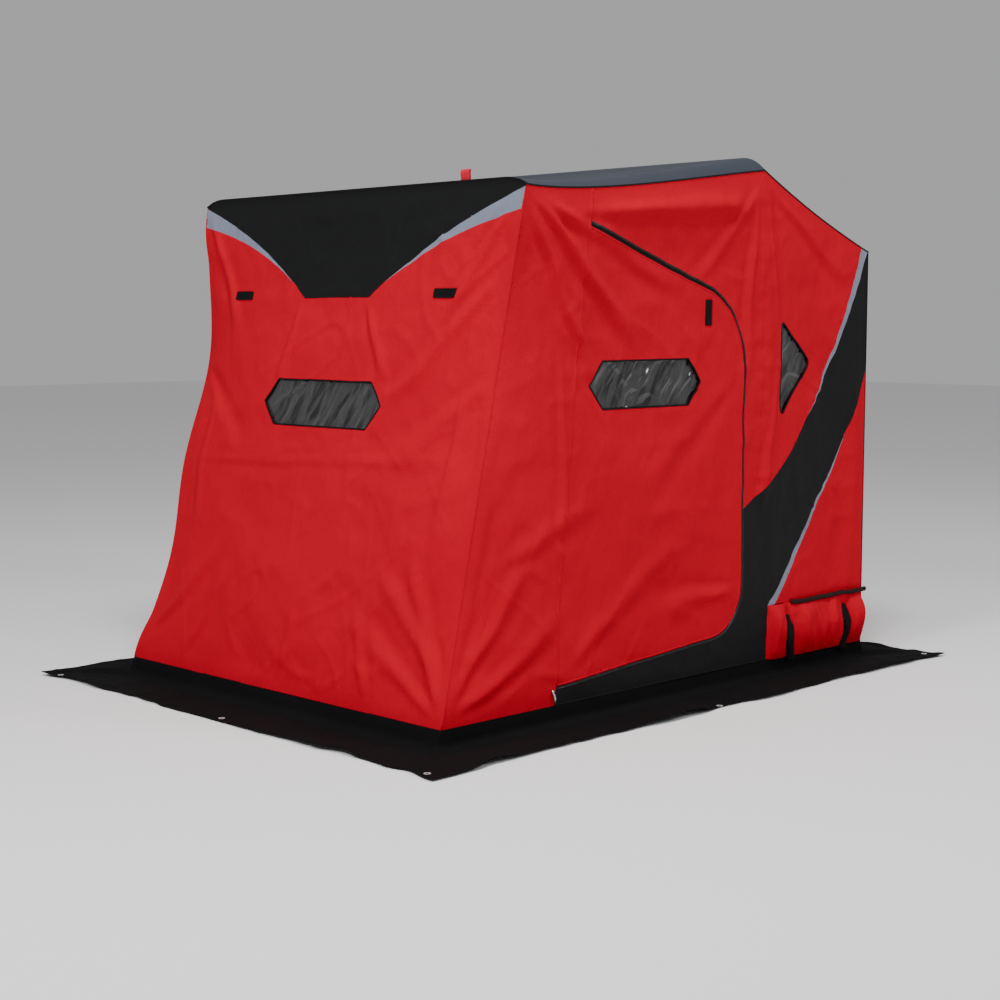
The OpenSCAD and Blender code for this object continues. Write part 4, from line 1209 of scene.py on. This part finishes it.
# each side's way out from the wall, and its row of the noise that draws the skirt's edge in
SIDES = {"front": ((0, -1), 0.0), "rear": ((0, 1), 5.0), "right": ((1, 0), 10.0), "left": ((-1, 0), 15.0)}
SKIRT_CLOTH = 0.003
BEND = 0.075                                                    # run of the hem before the cloth lies flat
WANDER = 0.017                                                  # what the turn at the hem takes up


def skirt_height(xy, d):
    """Top of the skirt above the ground, d being the distance out from the hem."""
    flat = np.ones(len(xy))
    for a, b in eyelets:
        flat *= 1 - np.exp(-(np.hypot(xy[:, 0] - a, xy[:, 1] - b) / 0.055) ** 4)
    wave = 0.5 + 0.5 * noise(xy, 0.30, 401)
    roll = 0.017 * wave * smooth(0.03, 0.14, d) * (1 - 0.35 * smooth(0.18, 0.26, d))
    crinkle = 0.006 * np.maximum(ridged(xy * [1.0, 1.3], 0.12, 402), 0) + 0.0016 * fbm(xy, 0.05, 403, 2)
    rim = 0.015 * np.maximum(noise(xy, 0.17, 404), 0) * smooth(0.15, 0.25, d)
    # a raised fold along each mitre, near the hem
    mitre = np.abs((np.abs(xy[:, 0]) - HALF) - (np.abs(xy[:, 1]) - DEPTH / 2))
    peak = 0.022 * np.exp(-(mitre / 0.022) ** 2) * smooth(0.19, 0.05, d) * smooth(0.0, 0.03, d)
    return 0.0042 + (roll + np.maximum(crinkle, -0.001) * smooth(0.02, 0.08, d) + rim + peak) * flat


def skirt_row(side, ts, length, run):
    """One row of the skirt, that run of cloth down from the hem's top: its places, and how far along."""
    (ox, oy), noise_row = SIDES[side]
    down = min(run / 0.072, 1.0)
    d = 0.006 * down + max(0.0, run - 0.058) * SKIRT / (SKIRT + WANDER)
    d = min(d, SKIRT)
    t = ts * (length + 2 * d)
    far = (DEPTH / 2 if oy else HALF) + d
    xy = np.stack([far * ox - t * oy, far * oy + t * ox], 1)
    z = skirt_height(xy, np.full(len(t), d))
    if down < 1.0:
        z = HEM * (1 - down) + z * down
    else:
        z = z + 0.010 * math.exp(-max(0.0, d - 0.006) / 0.012)
    if d < 0.05 and side != "rear":
        # the foot of the front wall leans, and the side walls' front corners go with it
        near_front = 1 if side == "front" else smooth(-0.30, -0.5, ts * ox)
        xy[:, 1] += front_line(np.minimum(z, HEM)) * near_front * smooth(0.05, 0.0, d)
    sway = 0.0035 * noise(np.stack([t, t * 0 + 0.3], 1), 0.16, 410) * (1 - down)
    drawn = 0.5 + 0.5 * fbm(np.stack([t, t * 0 + noise_row], 1), 0.27, 411)
    inward = 0.030 * drawn * smooth(SKIRT - 0.10, SKIRT, d)
    middle = 1 - smooth(0.42, 0.5, np.abs(ts))
    xy = xy + ((sway - inward) * middle)[:, None] * np.array([ox, oy])
    return np.column_stack([xy, z]), t


def skirt_piece(name, side, stands):
    """The hem of one wall and the skirt that runs out from it over the ground."""
    length = 2 * HALF if side in ("front", "rear") else DEPTH
    cols = int(length / 0.0135)
    reach = np.concatenate([np.linspace(0, BEND, 8)[:-1], BEND + np.linspace(0, SKIRT, 20)])
    ts = np.linspace(-0.5, 0.5, cols + 1)
    rows = [skirt_row(side, ts, length, run) for run in reach]
    co = np.concatenate([row for row, _ in rows])
    uv = np.concatenate([np.stack([t, np.full(len(t), run)], 1) for (_, t), run in zip(rows, reach)])
    tri = grid_faces(len(reach), cols + 1)
    if vertex_normals(co, tri)[:, 2].sum() < 0:
        tri = tri[:, ::-1]
    co, faces, which, sharp, uv = thick(co, tri, SKIRT_CLOTH, uv)
    co[:, 2] = np.maximum(co[:, 2], 0.0006)
    o = mesh_object(name, co, faces, [m_skirt, m_skirt], "shelter", "skirt_fabric", stands, uv, which, sharp)
    wide = SKIRT + HEM
    cloths.append((o, dict(flat=(wide, length + 2 * SKIRT), held="laid", rests_on=["side_hems"],
                           area=wide * (length + SKIRT))))


skirt_piece("front_skirt_cloth", "front", ("front_skirt", "end_hems"))
skirt_piece("rear_skirt_cloth", "rear", ("rear_skirt",))
skirt_piece("right_skirt_cloth", "right", ("right_skirt", "side_hems"))
skirt_piece("left_skirt_cloth", "left", ("left_skirt",))

# ---- Camera, floor and light -------------------------------------------------------------------------


def aim(o, target):
    o.rotation_mode = "QUATERNION"
    o.rotation_quaternion = (Vector(target) - o.location).to_track_quat("-Z", "Y")


# The camera was fitted to the photo: where it stands, how far it turns left and down, and its lens.
CAMERA, TURN, DOWN, LENS = (5.224, -5.187, 1.447), math.radians(45.39), math.radians(5.81), 63.9
FLOOR = 30.0
cam = bpy.data.objects.new("camera", bpy.data.cameras.new("camera"))
bpy.context.scene.collection.objects.link(cam)
cam.location = CAMERA
look = Vector((-math.sin(TURN) * math.cos(DOWN), math.cos(TURN) * math.cos(DOWN), -math.sin(DOWN)))
aim(cam, cam.location + look)
cam.data.sensor_width = 36.0
cam.data.lens = LENS
cam.data.clip_start, cam.data.clip_end = 0.1, 100.0
bpy.context.scene.camera = cam

floor_mesh = bpy.data.meshes.new("floor")
corners = [(FLOOR * x, FLOOR * y, -0.002) for x, y in ((-1, -1), (1, -1), (1, 1), (-1, 1))]
floor_mesh.from_pydata(corners, [], [(0, 1, 2, 3)])
floor_mat, nt, bsdf = shader("floor")
grain = add(nt, "TexNoise", Scale=2.0)
pale = shades(nt, grain.outputs["Fac"], (0.84, 0.84, 0.84), (0.86, 0.86, 0.86))
nt.links.new(pale, bsdf.inputs["Base Color"])
put(bsdf, Roughness=0.9)
floor_mesh.materials.append(floor_mat)
floor = bpy.data.objects.new("floor", floor_mesh)
bpy.context.scene.collection.objects.link(floor)


def lamp(name, place, target, size, power):
    data = bpy.data.lights.new(name, "AREA")
    data.shape = "RECTANGLE"
    data.size, data.size_y = size, size
    data.energy = power
    o = bpy.data.objects.new(name, data)
    o.location = place
    bpy.context.scene.collection.objects.link(o)
    aim(o, target)


lamp("key", (1.5, -6.5, 5.5), (0, -0.2, 1.0), 1.6, 300)
lamp("side", (6.5, 3.0, 4.5), (0.5, 0, 1.0), 1.6, 175)
lamp("high", (2.6, -2.0, 6.8), (0.3, -0.2, 1.0), 1.8, 370)
world = bpy.data.worlds.new("studio")
bpy.context.scene.world = world
world.use_nodes = True
put(world.node_tree.nodes["Background"], Color=(1, 1, 1, 1), Strength=0.42)

# ---- Finishes of the frame's own nodes ---------------------------------------------------------------
for name, mat in (("sled", m_sled), ("crossbars", m_pole), ("uprights", m_pole), ("side_rails", m_pole),
                  ("corner_hubs", m_fit), ("pivot_brackets", m_bracket), ("grommets", m_eyelet)):
    nodes[name].data.materials.clear()
    nodes[name].data.materials.append(mat)
